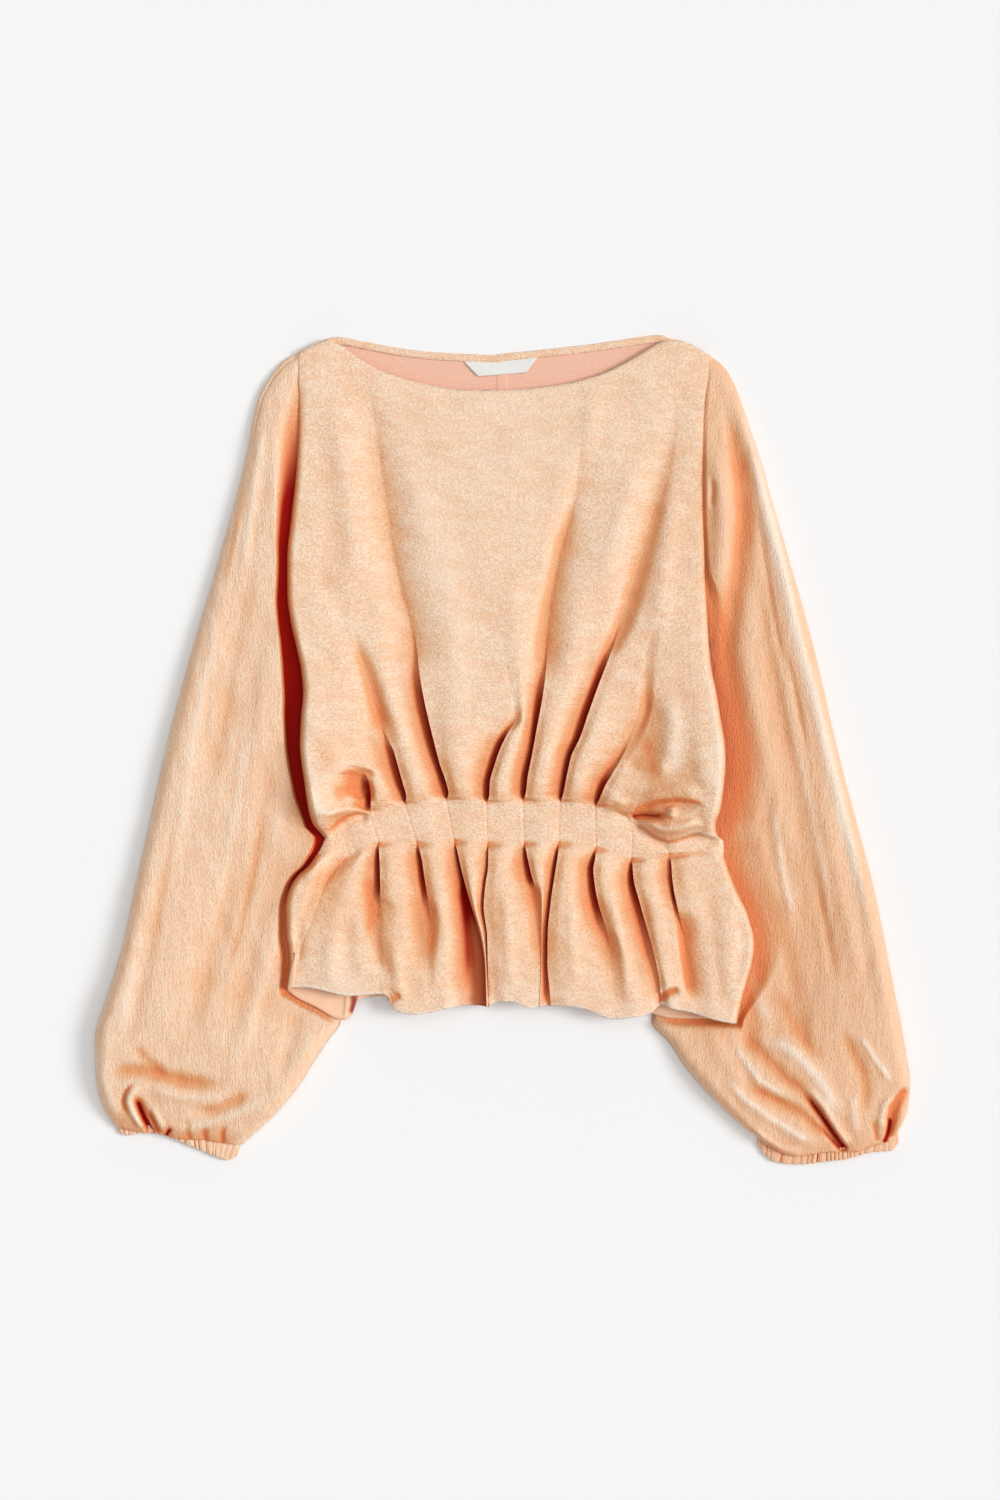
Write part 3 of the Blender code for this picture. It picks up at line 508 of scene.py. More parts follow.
# front panel
# each tuck's valley: y, soft left edge, sharp right edge, depth
front = {
    "wall": 0.6 * mm,
    "tucksAbove": [
        [(345, 313, 314, 0), (450, 311, 312, 0), (600, 303, 304, 0), (700, 316, 317, 0), (773, 322, 323, 0),
         (815, 334, 335, 0), (826, 338.5, 339.2, 1)],
        [(345, 326, 327, 0), (450, 328, 329, 0), (600, 322, 323, 0), (700, 333, 335, 0), (764, 346, 350, 0),
         (772, 352, 365, 4), (782, 356, 369, 9), (797, 360, 371, 12), (806, 364, 371, 10),
         (813, 368.5, 369.3, 1)],
        [(345, 340, 341, 0), (450, 346, 347, 0), (600, 350, 351, 0), (664, 358, 363, 0.6),
         (713, 368, 378, 3), (739, 378, 388, 6), (751, 382, 394, 9), (767, 387, 398.5, 12),
         (783, 392.5, 403, 14), (797, 400, 406.4, 13), (805.5, 404.6, 405.3, 1)],
        [(345, 356, 357, 0), (400, 366, 372, 0.4), (480, 374, 384, 1), (560, 385, 396, 2),
         (640, 403, 416, 5), (676, 405, 420, 8), (701, 410, 424.5, 12), (719, 416, 428.5, 14),
         (743, 423.5, 434.5, 16), (764, 432, 440, 16), (782, 437.5, 446.2, 16), (793, 441, 448.6, 14),
         (801, 445.6, 446.3, 1)],
        [(380, 452, 453, 0), (450, 468, 469, 0), (600, 494, 495, 0), (690, 508, 512, 0.6),
         (703, 511, 515, 1.5), (717, 509, 516, 4), (733, 499, 508, 8), (747, 491.5, 501, 12),
         (764, 486.5, 495, 14), (783, 482, 490, 15), (795, 481.5, 489.4, 13), (804.5, 485.8, 486.5, 1)],
        [(380, 584, 586, 0), (446, 577, 583.5, 0.3), (484, 571, 581, 1.5), (520, 560, 572, 2.4),
         (550, 551, 563, 3), (600, 541.5, 553.5, 3.8), (652, 536, 548, 5), (676, 533, 545.5, 7),
         (701, 531, 542, 10), (725, 530.5, 537.5, 14), (749, 527.5, 533.2, 16), (765, 523, 530, 16),
         (778, 519.5, 527.6, 15), (791, 519, 526.2, 14), (803.6, 522.3, 523, 1)],
        [(360, 671, 673, 0), (419, 663, 674, 0.3), (460, 655, 668, 0.9), (520, 640, 653, 2),
         (586, 621, 634.5, 3.2), (640, 603, 616, 5.4), (667, 594, 605.5, 9), (688, 587, 597.5, 11),
         (713, 578, 588.5, 14), (737, 571, 580.3, 15), (756, 564.5, 571.4, 16), (773, 561, 567.4, 16),
         (794, 558.6, 563.2, 14), (803.6, 559.3, 560, 1)],
        [(345, 680, 681, 0), (450, 684, 685, 0), (600, 662, 664, 0.2), (660, 640, 647, 1.6),
         (705, 634, 646, 3.4), (721, 625, 640, 4), (742, 613, 630, 5), (759, 605, 621, 6.4),
         (774, 598, 612, 8.5), (785, 594.6, 605.4, 11), (799, 593.6, 599.4, 12), (808.4, 594.2, 595, 1)],
        [(345, 688, 689, 0), (450, 690, 691, 0), (600, 676, 677, 0), (700, 662, 663, 0), (770, 648, 649, 0),
         (800, 638, 639, 0), (812, 633, 634.5, 1), (820, 632.6, 633.3, 1)],
        [(345, 695, 696, 0), (450, 694, 695, 0), (600, 692, 693, 0), (700, 690, 691, 0), (770, 682, 683, 0),
         (810, 673, 674, 0), (840, 668.6, 669.3, 0.6)],
    ],
    "tucksBelow": [
        [(856, 348.6, 349.4, 1), (863, 336, 341, 2), (871, 328, 334, 3), (883, 321, 328, 3.2),
         (899, 315, 322, 3), (920, 307, 314, 2.6), (940, 299, 306, 2.2), (960, 294, 299, 2),
         (975, 290.6, 294, 2), (989, 288.6, 290, 2)],
        [(841, 377.6, 378.4, 1), (849, 375, 379, 8), (866, 373, 380, 13), (880, 373, 380.4, 12),
         (895, 372, 380.6, 8), (910, 371, 381, 4), (930, 370, 382, 2), (995, 373, 383, 0.6)],
        [(840, 415.2, 416, 1), (850, 415, 419.6, 8), (862, 416, 422.4, 13), (876, 417, 424.4, 12),
         (892, 418, 427, 9), (912, 419, 430, 5.5), (935, 420, 432, 3.6), (970, 421, 433, 1.6),
         (1014, 422, 434, 0.8)],
        [(838, 453, 453.8, 1), (850, 454, 457.2, 9), (867, 456.5, 461, 14), (890, 459.5, 467, 16),
         (910, 461, 473, 16), (930, 461.5, 479, 16), (945, 462, 482.6, 16), (968, 462, 485.4, 15),
         (1007, 461, 486.6, 13)],
        [(841, 487, 487.8, 1), (852, 486, 488.4, 8), (866, 485, 488.2, 9), (884, 482, 485.6, 9),
         (906, 480.4, 483.8, 9), (935, 485.4, 487.2, 9), (968, 486.6, 488, 7), (1006, 487.4, 489, 5)],
        [(841, 523.6, 524.4, 1), (850, 522.6, 526, 9), (862, 522, 528.6, 13), (876, 523, 532, 11),
         (890, 525, 536, 6), (913, 527, 539, 2.6), (950, 528, 540, 1.2), (1006, 530, 541, 0.6)],
        [(840, 558.8, 559.6, 1), (852, 554.5, 558.4, 9), (866, 551.6, 556.2, 12), (882, 549.4, 553.6, 11),
         (903, 546.4, 550.6, 10), (936, 543.6, 547.6, 10), (962, 542.6, 547.4, 9), (988, 540.6, 549.4, 8),
         (1006, 539, 551, 6)],
        [(846, 595.6, 596.4, 1), (856, 590.6, 595.6, 9), (870, 586, 593.4, 13), (886, 586, 595, 13),
         (902, 588, 598, 11), (920, 591, 603.4, 8), (942, 597, 610, 5), (965, 601, 615, 2.6),
         (1015, 604, 617, 1.4)],
        [(857, 631, 631.8, 1), (866, 628.6, 632.6, 9), (880, 626, 633.8, 12), (900, 627, 639, 11),
         (920, 630, 644.6, 10), (949, 637, 652.6, 8), (981, 646, 659.4, 6.6), (1008, 652, 662, 5.4)],
        [(853, 668.2, 669, 1), (862, 667.2, 671.2, 9), (876, 667.6, 672, 12), (892, 669.6, 674, 11),
         (908, 672, 677.6, 8), (925, 673, 681.6, 5.4), (942, 674, 686, 4), (965, 676, 692, 3.4),
         (988, 679, 697, 2.8), (1012, 686, 700, 2.4)],
    ],
    "crest": [
        (0, 6.6), (0.06, 8.4), (0.2, 10), (0.45, 11.5), (0.68, 15.5), (0.80, 19), (0.88, 20.5), (0.93, 20),
        (0.965, 18), (0.985, 15), (1, 11.6), (1.06, 10.6), (1.5, 10.2), (1.94, 10.4), (2, 11.2),
        (2.04, 13.5), (2.1, 16), (2.3, 19.5), (2.6, 20.5), (3, 20),
    ],
    "puff": [
        (0, 0, 0), (0.4, 2, 0.5), (0.7, 7, 6), (0.86, 12, 13), (0.94, 12.5, 12), (0.98, 8, 10), (1, 3.5, 8),
        (1.2, 0.5, 2), (1.6, 0.5, 1), (2, 1, 0.5), (3, 0, 1),
    ],
    # level, painted shade there (below zero a painted highlight)
    "shadeByLevel": [
        (0, -0.12), (0.55, -0.08), (0.8, 0.10), (0.97, 0.2), (1, -0.15), (2, -0.15), (2.15, 0.30),
        (2.7, 0.20), (3, 0),
    ],
    "levelsAbove": 104, "levelsClose": 56, "closeFrom": 0.85, "levelsBand": 18, "levelsBelow": 66,
    "acrossLobe": 12, "acrossValley": (0.25, 0.48, 0.68), "sideSteps": (0.0, 0.9, 2.2, 4.4, 7.5),
    "puffReach": (85, 95), "startRows": (365, 815, 1005),
    # unevenness: size, seed, stretch, height; then the hem's painted shade: distance from its edge, reach,
    # strength (below zero a painted highlight)
    "rumples": ((46, 3, (1.0, 1.0), 0.55), (17, 5, (1.6, 1.0), 0.18)),
    "hemShadingMarks": ((4.5, 1.1, 0.45), (0, 2.2, -0.95)),
    "creases": [
        # long soft valleys that run up from the tucks to the shoulders
        crease([(350, 352), (362, 385), (374, 430), (383, 490), (392, 555), (403, 620), (413, 680)], 20, -4,
               taper=(0.4, 0.15), lean=0.15),
        crease([(688, 372), (678, 410), (662, 470), (648, 530), (634, 580), (620, 625), (604, 668)], 19,
               -3.2, taper=(0.5, 0.15), lean=-0.2),
        crease([(584, 436), (577, 480), (567, 520), (556, 555), (543, 617), (535, 680)], 13, -4.2,
               taper=(0.2, 0.15), lean=-0.4),
        # bright shallow folds between them
        crease([(600, 372), (590, 420), (580, 480), (572, 560)], 13, 1.8),
        crease([(640, 440), (628, 490), (612, 550), (598, 610)], 14, 2.2),
        crease([(330, 400), (345, 470), (352, 540), (356, 600)], 17, 2),
        crease([(405, 420), (414, 480), (424, 550), (432, 620), (440, 690)], 17, 1.6),
        crease([(676, 470), (668, 540), (660, 600), (652, 660)], 15, 2),
        crease([(300, 640), (316, 650), (338, 668)], 9, -1.6),
        crease([(312, 560), (330, 590), (350, 625)], 12, -1.5),
        crease([(306, 720), (322, 735), (344, 752)], 11, 1.6),
        crease([(636, 672), (646, 690), (648, 715), (640, 745), (625, 772)], 13, -2.2, taper=(0.4, 0.1),
               lean=-0.3),
        # painted shade at the left of the blouson, a painted highlight and painted shade at its right
        crease([(312, 730), (322, 755), (334, 775)], 20, 0.4, tone=0.5),
        crease([(668, 690), (677, 735), (674, 780)], 17, 0.6, tone=-0.6),
        crease([(644, 735), (650, 755), (654, 780)], 9, -0.2, tone=0.6),
        crease([(664, 690), (672, 720), (668, 755), (652, 785)], 12, 2.6),
        crease([(352, 632), (360, 655), (368, 676), (376, 705), (384, 735)], 11, -4, taper=(0.3, 0.2)),
        crease([(436, 500), (446, 560), (452, 620), (455, 690), (452, 745)], 16, 1.2),
        crease([(512, 560), (514, 620), (516, 690)], 12, 1),
        # pocket of the second tuck at the left of the blouson, and the roll below it; the pocket and its
        # folds carry painted shade and a small ridge a painted highlight
        crease([(330, 781), (341, 775), (354, 774), (364, 779), (369, 790), (370, 801)], 9, -2.4, tone=0.2,
               taper=(0.4, 0.1), lean=0.5),
        crease([(332, 802), (342, 794), (354, 790), (366, 797)], 15, -5.5, tone=0.3, taper=(0.35, 0.15)),
        crease([(342, 800), (352, 798), (362, 801)], 5, 1.4, tone=-0.5),
        crease([(350, 805), (361, 806), (369, 809)], 5, -4.5, tone=0.4, taper=(0.6, 0.1)),
        crease([(366, 778), (370, 790), (370.5, 804)], 3.4, -2, tone=0.7, deepShade=0.35, taper=(0.35, 0.2)),
        crease([(318, 816), (332, 813), (346, 809), (358, 807.5), (368, 811)], 6, 4.5, taper=(0.3, 0.2)),
        crease([(369, 815), (357, 813), (346, 816), (337, 823), (328, 834)], 5.5, -6.5, taper=(0.1, 0.15),
               lean=-0.75),
        crease([(309, 780), (314, 800), (322, 816), (330, 822)], 11, 3.5),
        # mouth of the ninth tuck and the roll below it at the right of the blouson, with painted shade in
        # the mouth and a painted highlight on its upper lip
        crease([(632, 817), (640, 815), (650, 815.5), (658, 816), (666, 813)], 3.6, -9, tone=0.8, deepShade=0.7,
               taper=(0.05, 0.25)),
        crease([(636, 813), (646, 807), (657, 803), (676, 801), (694, 803), (705, 809)], 6.5, -5, tone=-0.6,
               taper=(0.15, 0.35), lean=0.7),
        crease([(640, 812), (655, 809), (675, 808), (692, 810)], 8, -1.5, taper=(0.2, 0.4)),
        crease([(671, 805), (671.5, 812), (669, 819)], 4, 5, taper=(0.3, 0.3)),
        crease([(637, 822), (650, 826), (662, 830), (676, 829), (692, 824), (707, 826)], 6.5, 4.5,
               taper=(0.2, 0.3)),
        crease([(634, 824), (645, 830), (657, 838.5), (668, 843), (677, 842), (689, 837), (698, 835),
               (709, 838.5), (720, 840)], 5.5, -6, taper=(0.1, 0.15), lean=0.75),
        crease([(640, 800), (658, 792), (680, 789), (702, 792)], 9, 2, tone=0.25),
        crease([(632, 814), (645, 806), (657, 801.5), (676, 799.5), (696, 801.5), (706, 809)], 2.6, -1,
               tone=1.1, taper=(0.1, 0.3)),
        crease([(634, 823), (645, 829), (657, 837.5), (668, 842), (677, 841), (689, 836), (698, 834),
               (709, 838)], 2.6, -1, tone=1, taper=(0.1, 0.2)),
        crease([(640, 818), (660, 822), (680, 820), (702, 818)], 7, 0.5, tone=0.5),
        # lower side of the blouson, between the folds
        crease([(600, 806), (612, 799), (628, 806)], 8, 2),
        crease([(610, 812), (624, 816), (632, 820)], 4, -2.5, taper=(0.6, 0.1)),
        crease([(695, 740), (702, 765), (704, 790)], 14, 2),
        # flare beside the first tuck with a little painted shade, and troughs of the peplum
        crease([(350, 858), (336, 868), (322, 884), (312, 905), (300, 940)], 8, -1.2, tone=0.1,
               taper=(0.1, 0.4), lean=0.3),
        crease([(336, 845), (320, 862), (303, 884)], 7, 2.5),
        crease([(700, 845), (722, 858), (738, 884)], 8, 2),
        crease([(705, 880), (712, 930), (718, 980), (720, 1015)], 10, -1.6),
        crease([(738, 900), (744, 940), (736, 990)], 9, -3),
        crease([(300, 912), (298, 945), (300, 975)], 8, -2.5),
        crease([(335, 930), (330, 960), (332, 990)], 10, 2),
        crease([(350, 905), (346, 945), (350, 985)], 9, -2),
        crease([(395, 935), (397, 970), (402, 1005)], 9, 2.2),
        crease([(440, 880), (438, 930), (436, 1000)], 8, 1.5),
        crease([(505, 880), (508, 940), (512, 995)], 8, 1.6),
        crease([(575, 880), (572, 940), (576, 1000)], 8, 1.6),
        crease([(612, 890), (620, 940), (628, 1005)], 8, 1.6),
        # curls of the hem, with painted shade under them and painted highlights on their edges
        crease([(402, 994.5), (396, 996.5), (391, 1000), (387, 1005)], 3.4, -2.6, tone=1.5, deepShade=0.42,
               taper=(0.2, 0.1)),
        crease([(386, 990), (384, 996), (386, 1003)], 3, 1.2, tone=-0.5),
        crease([(660, 1000), (664, 994.5), (670, 991), (679, 988.5)], 3.6, -4.5, tone=1.2, deepShade=0.42,
               taper=(0.1, 0.25)),
        crease([(656.5, 1000), (660, 990.5), (668, 986), (680, 984.5)], 2.4, 1.4, tone=-0.5),
        crease([(660, 1004), (670, 1001), (679, 995.5), (684, 987)], 2.6, 1.6, tone=-0.6),
        crease([(678, 905), (681, 930), (683, 958), (687, 985), (692, 1005)], 8.5, -3.4, tone=0.75,
               taper=(0.3, 0.25), lean=-0.6),
        crease([(482, 995), (486, 1000), (492, 1004)], 4.5, 3, taper=(0.3, 0.1)),
        # soft troughs of the peplum, and lines of painted shade beside them
        crease([(373, 872), (371, 905), (376, 950), (382, 985)], 12, -3.5, taper=(0.2, 0.4)),
        crease([(418, 890), (419, 930), (424, 975)], 10, -3, taper=(0.2, 0.4)),
        crease([(420, 862), (427, 895), (432, 930), (431, 965)], 6.5, -0.6, tone=1),
        crease([(366, 872), (371, 890), (372, 912), (368, 940)], 6.5, -0.4, tone=0.8),
        crease([(458, 875), (464, 910), (468, 950), (470, 995)], 7, 0, tone=1.2, deepShade=0.5,
               taper=(0.2, 0.35)),
        crease([(531, 880), (536, 925), (541, 975)], 11, -3.2, taper=(0.2, 0.4)),
        crease([(592, 890), (600, 935), (612, 985)], 12, -2.6, taper=(0.2, 0.4)),
        crease([(640, 885), (646, 930), (652, 975)], 9, -2, taper=(0.3, 0.4)),
    ],
}


def frontRowY(px, level):
    top, upper, lower, hem = (curve(t)(px) for t in (frontTop, bandTop, bandBottom, frontHem))
    return np.where(level <= 1, mix(top, upper, np.minimum(level, 1)),
                    np.where(level <= 2, mix(upper, lower, np.clip(level - 1, 0, 1)),
                             mix(lower, hem, np.clip(level - 2, 0, 1))))


def tuckColumn(above, below, column):
    upper, lower = curve(above, column), curve(below, column)

    def value(level, py):
        inBand = mix(above[-1][column], below[0][column], np.clip(level - 1, 0, 1))
        return np.where(level <= 1, upper(py), np.where(level >= 2, lower(py), inBand))
    return value


def crispness(depth):
    # a deep tuck has a sharp, undercut edge; a shallow one is soft on both sides
    return smoothed((depth - 4.0) / 4.0)


tuckValues = [[tuckColumn(above, below, column) for column in (1, 2, 3)]
              for above, below in zip(front["tucksAbove"], front["tucksBelow"])]


def valleyAt(number, level, py):
    # soft edge, sharp edge and depth of a valley; past the outer tucks the side's own columns begin
    if number < 0:
        return None, leftSide(py) + front["sideSteps"][-1], 0 * py
    if number == len(tuckValues):
        return rightSide(py) - front["sideSteps"][-1], None, 0 * py
    return [value(level, py) for value in tuckValues[number]]


def frontColumns():
    # every column of the sheet: its lobe, the part of the fold it is in, and its share across that part
    tucks, steps = len(tuckValues), front["acrossLobe"]
    columns = [(0, "leftSide", step) for step in front["sideSteps"]]
    for lobe in range(tucks + 1):
        columns += [(lobe, "lobe", k / steps) for k in range(0 if lobe else 1, steps + (lobe < tucks))]
        if lobe < tucks:
            columns += [(lobe, "valley", share) for share in front["acrossValley"]]
            columns += [(lobe, "under", 0.0), (lobe, "lip", 0.0)]
    return columns + [(tucks, "rightSide", step) for step in reversed(front["sideSteps"])]


def frontColumnX(lobe, part, share, level, py):
    soft, sharp, depth = valleyAt(lobe, level, py)
    crisp = crispness(depth)
    if part == "leftSide":
        return leftSide(py) + share
    if part == "rightSide":
        return rightSide(py) - share
    if part == "lobe":
        return mix(valleyAt(lobe - 1, level, py)[1], soft, share)
    if part == "valley":
        return mix(soft, sharp, share)
    if part == "under":
        return mix(soft, sharp, mix(0.84, 1.0, crisp)) + 0.6 * crisp
    return mix(soft, sharp, mix(0.93, 1.0, crisp)) - 0.1 * crisp


def frontColumnHeight(lobe, part, share, level, px, py, crest, seam):
    # height of a column's cloth, and the painted shade inside its fold
    soft, sharp, depth = valleyAt(lobe, level, py)
    crisp = crispness(depth)
    if part in ("leftSide", "rightSide"):
        out = share / front["sideSteps"][-1]
        rise = mix(out, math.sqrt(1 - (1 - out) ** 2), smoothed((py - 360) / 60))
        return mix(seam, crest, rise), np.zeros_like(px)
    if part == "lobe":
        before = valleyAt(lobe - 1, level, py)[2]
        crispBefore = crispness(before)
        fromSharp = mix(0.92, 0.20, crispBefore) * (1 - smoothed(share / mix(0.5, 0.28, crispBefore)))
        toSoft = 0.50 * (1 - smoothed((1 - share) / 0.62)) ** 1.3
        paintedShade = 0.22 * smoothed((depth - 3) / 9) * (1 - smoothed((1 - share) / 0.3))
        return crest - before * fromSharp - depth * toSoft, paintedShade
    if part == "lip":
        return crest - mix(0.95, 0.20, crisp) * depth, 0.15 * smoothed((depth - 3) / 9)
    wide = smoothed((sharp - soft - 9) / 10)
    if part == "valley":
        paintedShade = smoothed((depth - 2.5) / 8) * mix(0.25, 1.0, share) * mix(0.4, 1.0, crisp)
        return crest - depth * mix(0.50, 1.0, smoothed(share / 0.85)), paintedShade * mix(1, 0.62, wide)
    return crest - mix(0.97, 1.0, crisp) * depth, smoothed((depth - 3) / 9) * crisp * mix(1, 0.7, wide)


def makeFront():
    n = front
    levels = np.concatenate([np.linspace(0, n["closeFrom"], n["levelsAbove"], endpoint=False),
                             np.linspace(n["closeFrom"], 1, n["levelsClose"], endpoint=False),
                             np.linspace(1, 2, n["levelsBand"], endpoint=False),
                             2 + np.linspace(0, 1, n["levelsBelow"]) ** 1.15])
    puffs = [(curve(n["puff"], side)(levels), n["puffReach"][side - 1]) for side in (1, 2)]
    neckY, waistY, hemY = n["startRows"]
    columns, made = frontColumns(), []
    for lobe, part, share in columns:
        py = np.where(levels <= 1, mix(neckY, waistY, levels), mix(waistY, hemY, (levels - 1) / 2))
        for _ in range(8):
            left, right = leftSide(py), rightSide(py)
            px = frontColumnX(lobe, part, share, levels, py)
            py = frontRowY(px, levels)
        crest = curve(n["crest"])(levels)
        for (puff, reach), inward in zip(puffs, (px - left, right - px)):
            crest = crest + (1 - smoothed(inward / reach)) * puff
        seam = np.where(px < photo["middleX"], seamTop(py, -1), seamTop(py, 1))
        inward = np.minimum(px - left, right - px) - n["sideSteps"][-1]
        crest = crest + np.maximum(seam + 0.6 - crest, 0) * (1 - smoothed(inward / 45))
        made.append((px, py, *frontColumnHeight(lobe, part, share, levels, px, py, crest, seam)))
    px, py, height, paintedShade = (np.stack(values, axis=1) for values in zip(*made))
    inward = np.minimum(px - leftSide(py), rightSide(py) - px)
    creases = creased(px, py, n["creases"])
    creases *= smoothed((px - leftSide(py)) / 8) * smoothed((rightSide(py) - px) / 8)
    height = height + creases[0]
    for size, seed, stretch, rise in n["rumples"]:
        height = height + rumple(px, py, size, seed, stretch) * rise
    height = np.maximum(height, backLift(px, py) + 1.3 + 2.0 * smoothed(inward / 10))
    # painted shade along the hem's sewing and a painted highlight at its folded edge
    overHem = (curve(frontHem)(px) - py) * (levels > 2)[:, None] + 99 * (levels <= 2)[:, None]
    hemShading = np.zeros_like(px)
    for inset, reach, tone in n["hemShadingMarks"]:
        hemShading = hemShading + tone * np.exp(-((overHem - inset) / reach) ** 2)
    # the tucks show in the band as thin sewn lines, painted dark as the shade in their grooves
    band = smoothed((levels - 0.98) / 0.03) * (1 - smoothed((levels - 1.96) / 0.06))
    sewn = np.array([0.42 * (part in ("under", "lip") or (part, share) == ("valley", n["acrossValley"][-1]))
                     for _, part, share in columns])
    paintedShade = np.maximum(paintedShade, band[:, None] * sewn[None, :])
    shaded = mix(1.0, 0.12, band[:, None]) * np.ones_like(px)
    # painted shade and highlight from the creases, the level and the hem
    paintedShading = creases[1] + curve(n["shadeByLevel"])(levels)[:, None] + hemShading
    obj = gridMesh("frontPanel", place(px, py, height), depth=np.clip(paintedShade + creases[2], 0, 1),
                   shaded=shaded, paintedShading=paintedShading)
    return dress(obj, n["wall"], bodySatin, reverse)


print("front panel")
frontPanel = makeFront()


# back panel
back = {
    "wall": 0.6 * mm, "rows": 190, "columns": 330, "startRows": (350, 1010),
    "seam": (496.5, 507.5), "seamEdge": 1.2, "seamRise": 0.5, "uneven": 0.175,
    # fold of the hem at the lower left and the turned edge beside it, with painted shade in the fold and
    # along the hem
    "creases": [
        crease([(353, 994), (353.5, 1004), (350.5, 1016)], 5.6, -0.6, deepShade=0.85, taper=(0.1, 0.2)),
        crease([(346.5, 994), (346.5, 1006), (344, 1018)], 2.4, 1.6, taper=(0.1, 0.1)),
        crease([(358.5, 994), (357.5, 1004), (352, 1017)], 2.4, 1.6, taper=(0.1, 0.1)),
        crease([(289, 992), (300, 999), (318, 1008), (335, 1017)], 2.2, 0.7, taper=(0.1, 0.1)),
        crease([(300, 990), (316, 996), (334, 1004)], 9, 0.6, deepShade=0.1),
        crease([(640, 1009), (665, 1014), (690, 1016.5), (715, 1017)], 3, 0.8, deepShade=0.35),
    ],
}


def makeBack():
    levels = np.linspace(0, 1, back["rows"])[:, None]
    t = np.linspace(0, 1, back["columns"])[None, :]
    py = mix(*back["startRows"], levels) + 0 * t
    for _ in range(8):
        px = mix(leftSide(py), rightSide(py), t)
        py = mix(curve(backTop)(px), curve(backHem)(px), levels)
    height = backLift(px, py) + back["wall"] / mm
    height = height + back["uneven"] * (1 + rumple(px, py, 60, 11)) * smoothed((py - 380) / 60)
    seamLeft, seamRight = back["seam"]
    inSeam = smoothed((px - seamLeft) / back["seamEdge"]) * smoothed((seamRight - px) / back["seamEdge"])
    height = height + inSeam * back["seamRise"]
    creases = creased(px, py, back["creases"])
    obj = gridMesh("backPanel", place(px, py, height + creases[0]), depth=np.clip(creases[2], 0, 1))
    return dress(obj, back["wall"], reverse, bodySatin)


print("back panel")
backPanel = makeBack()


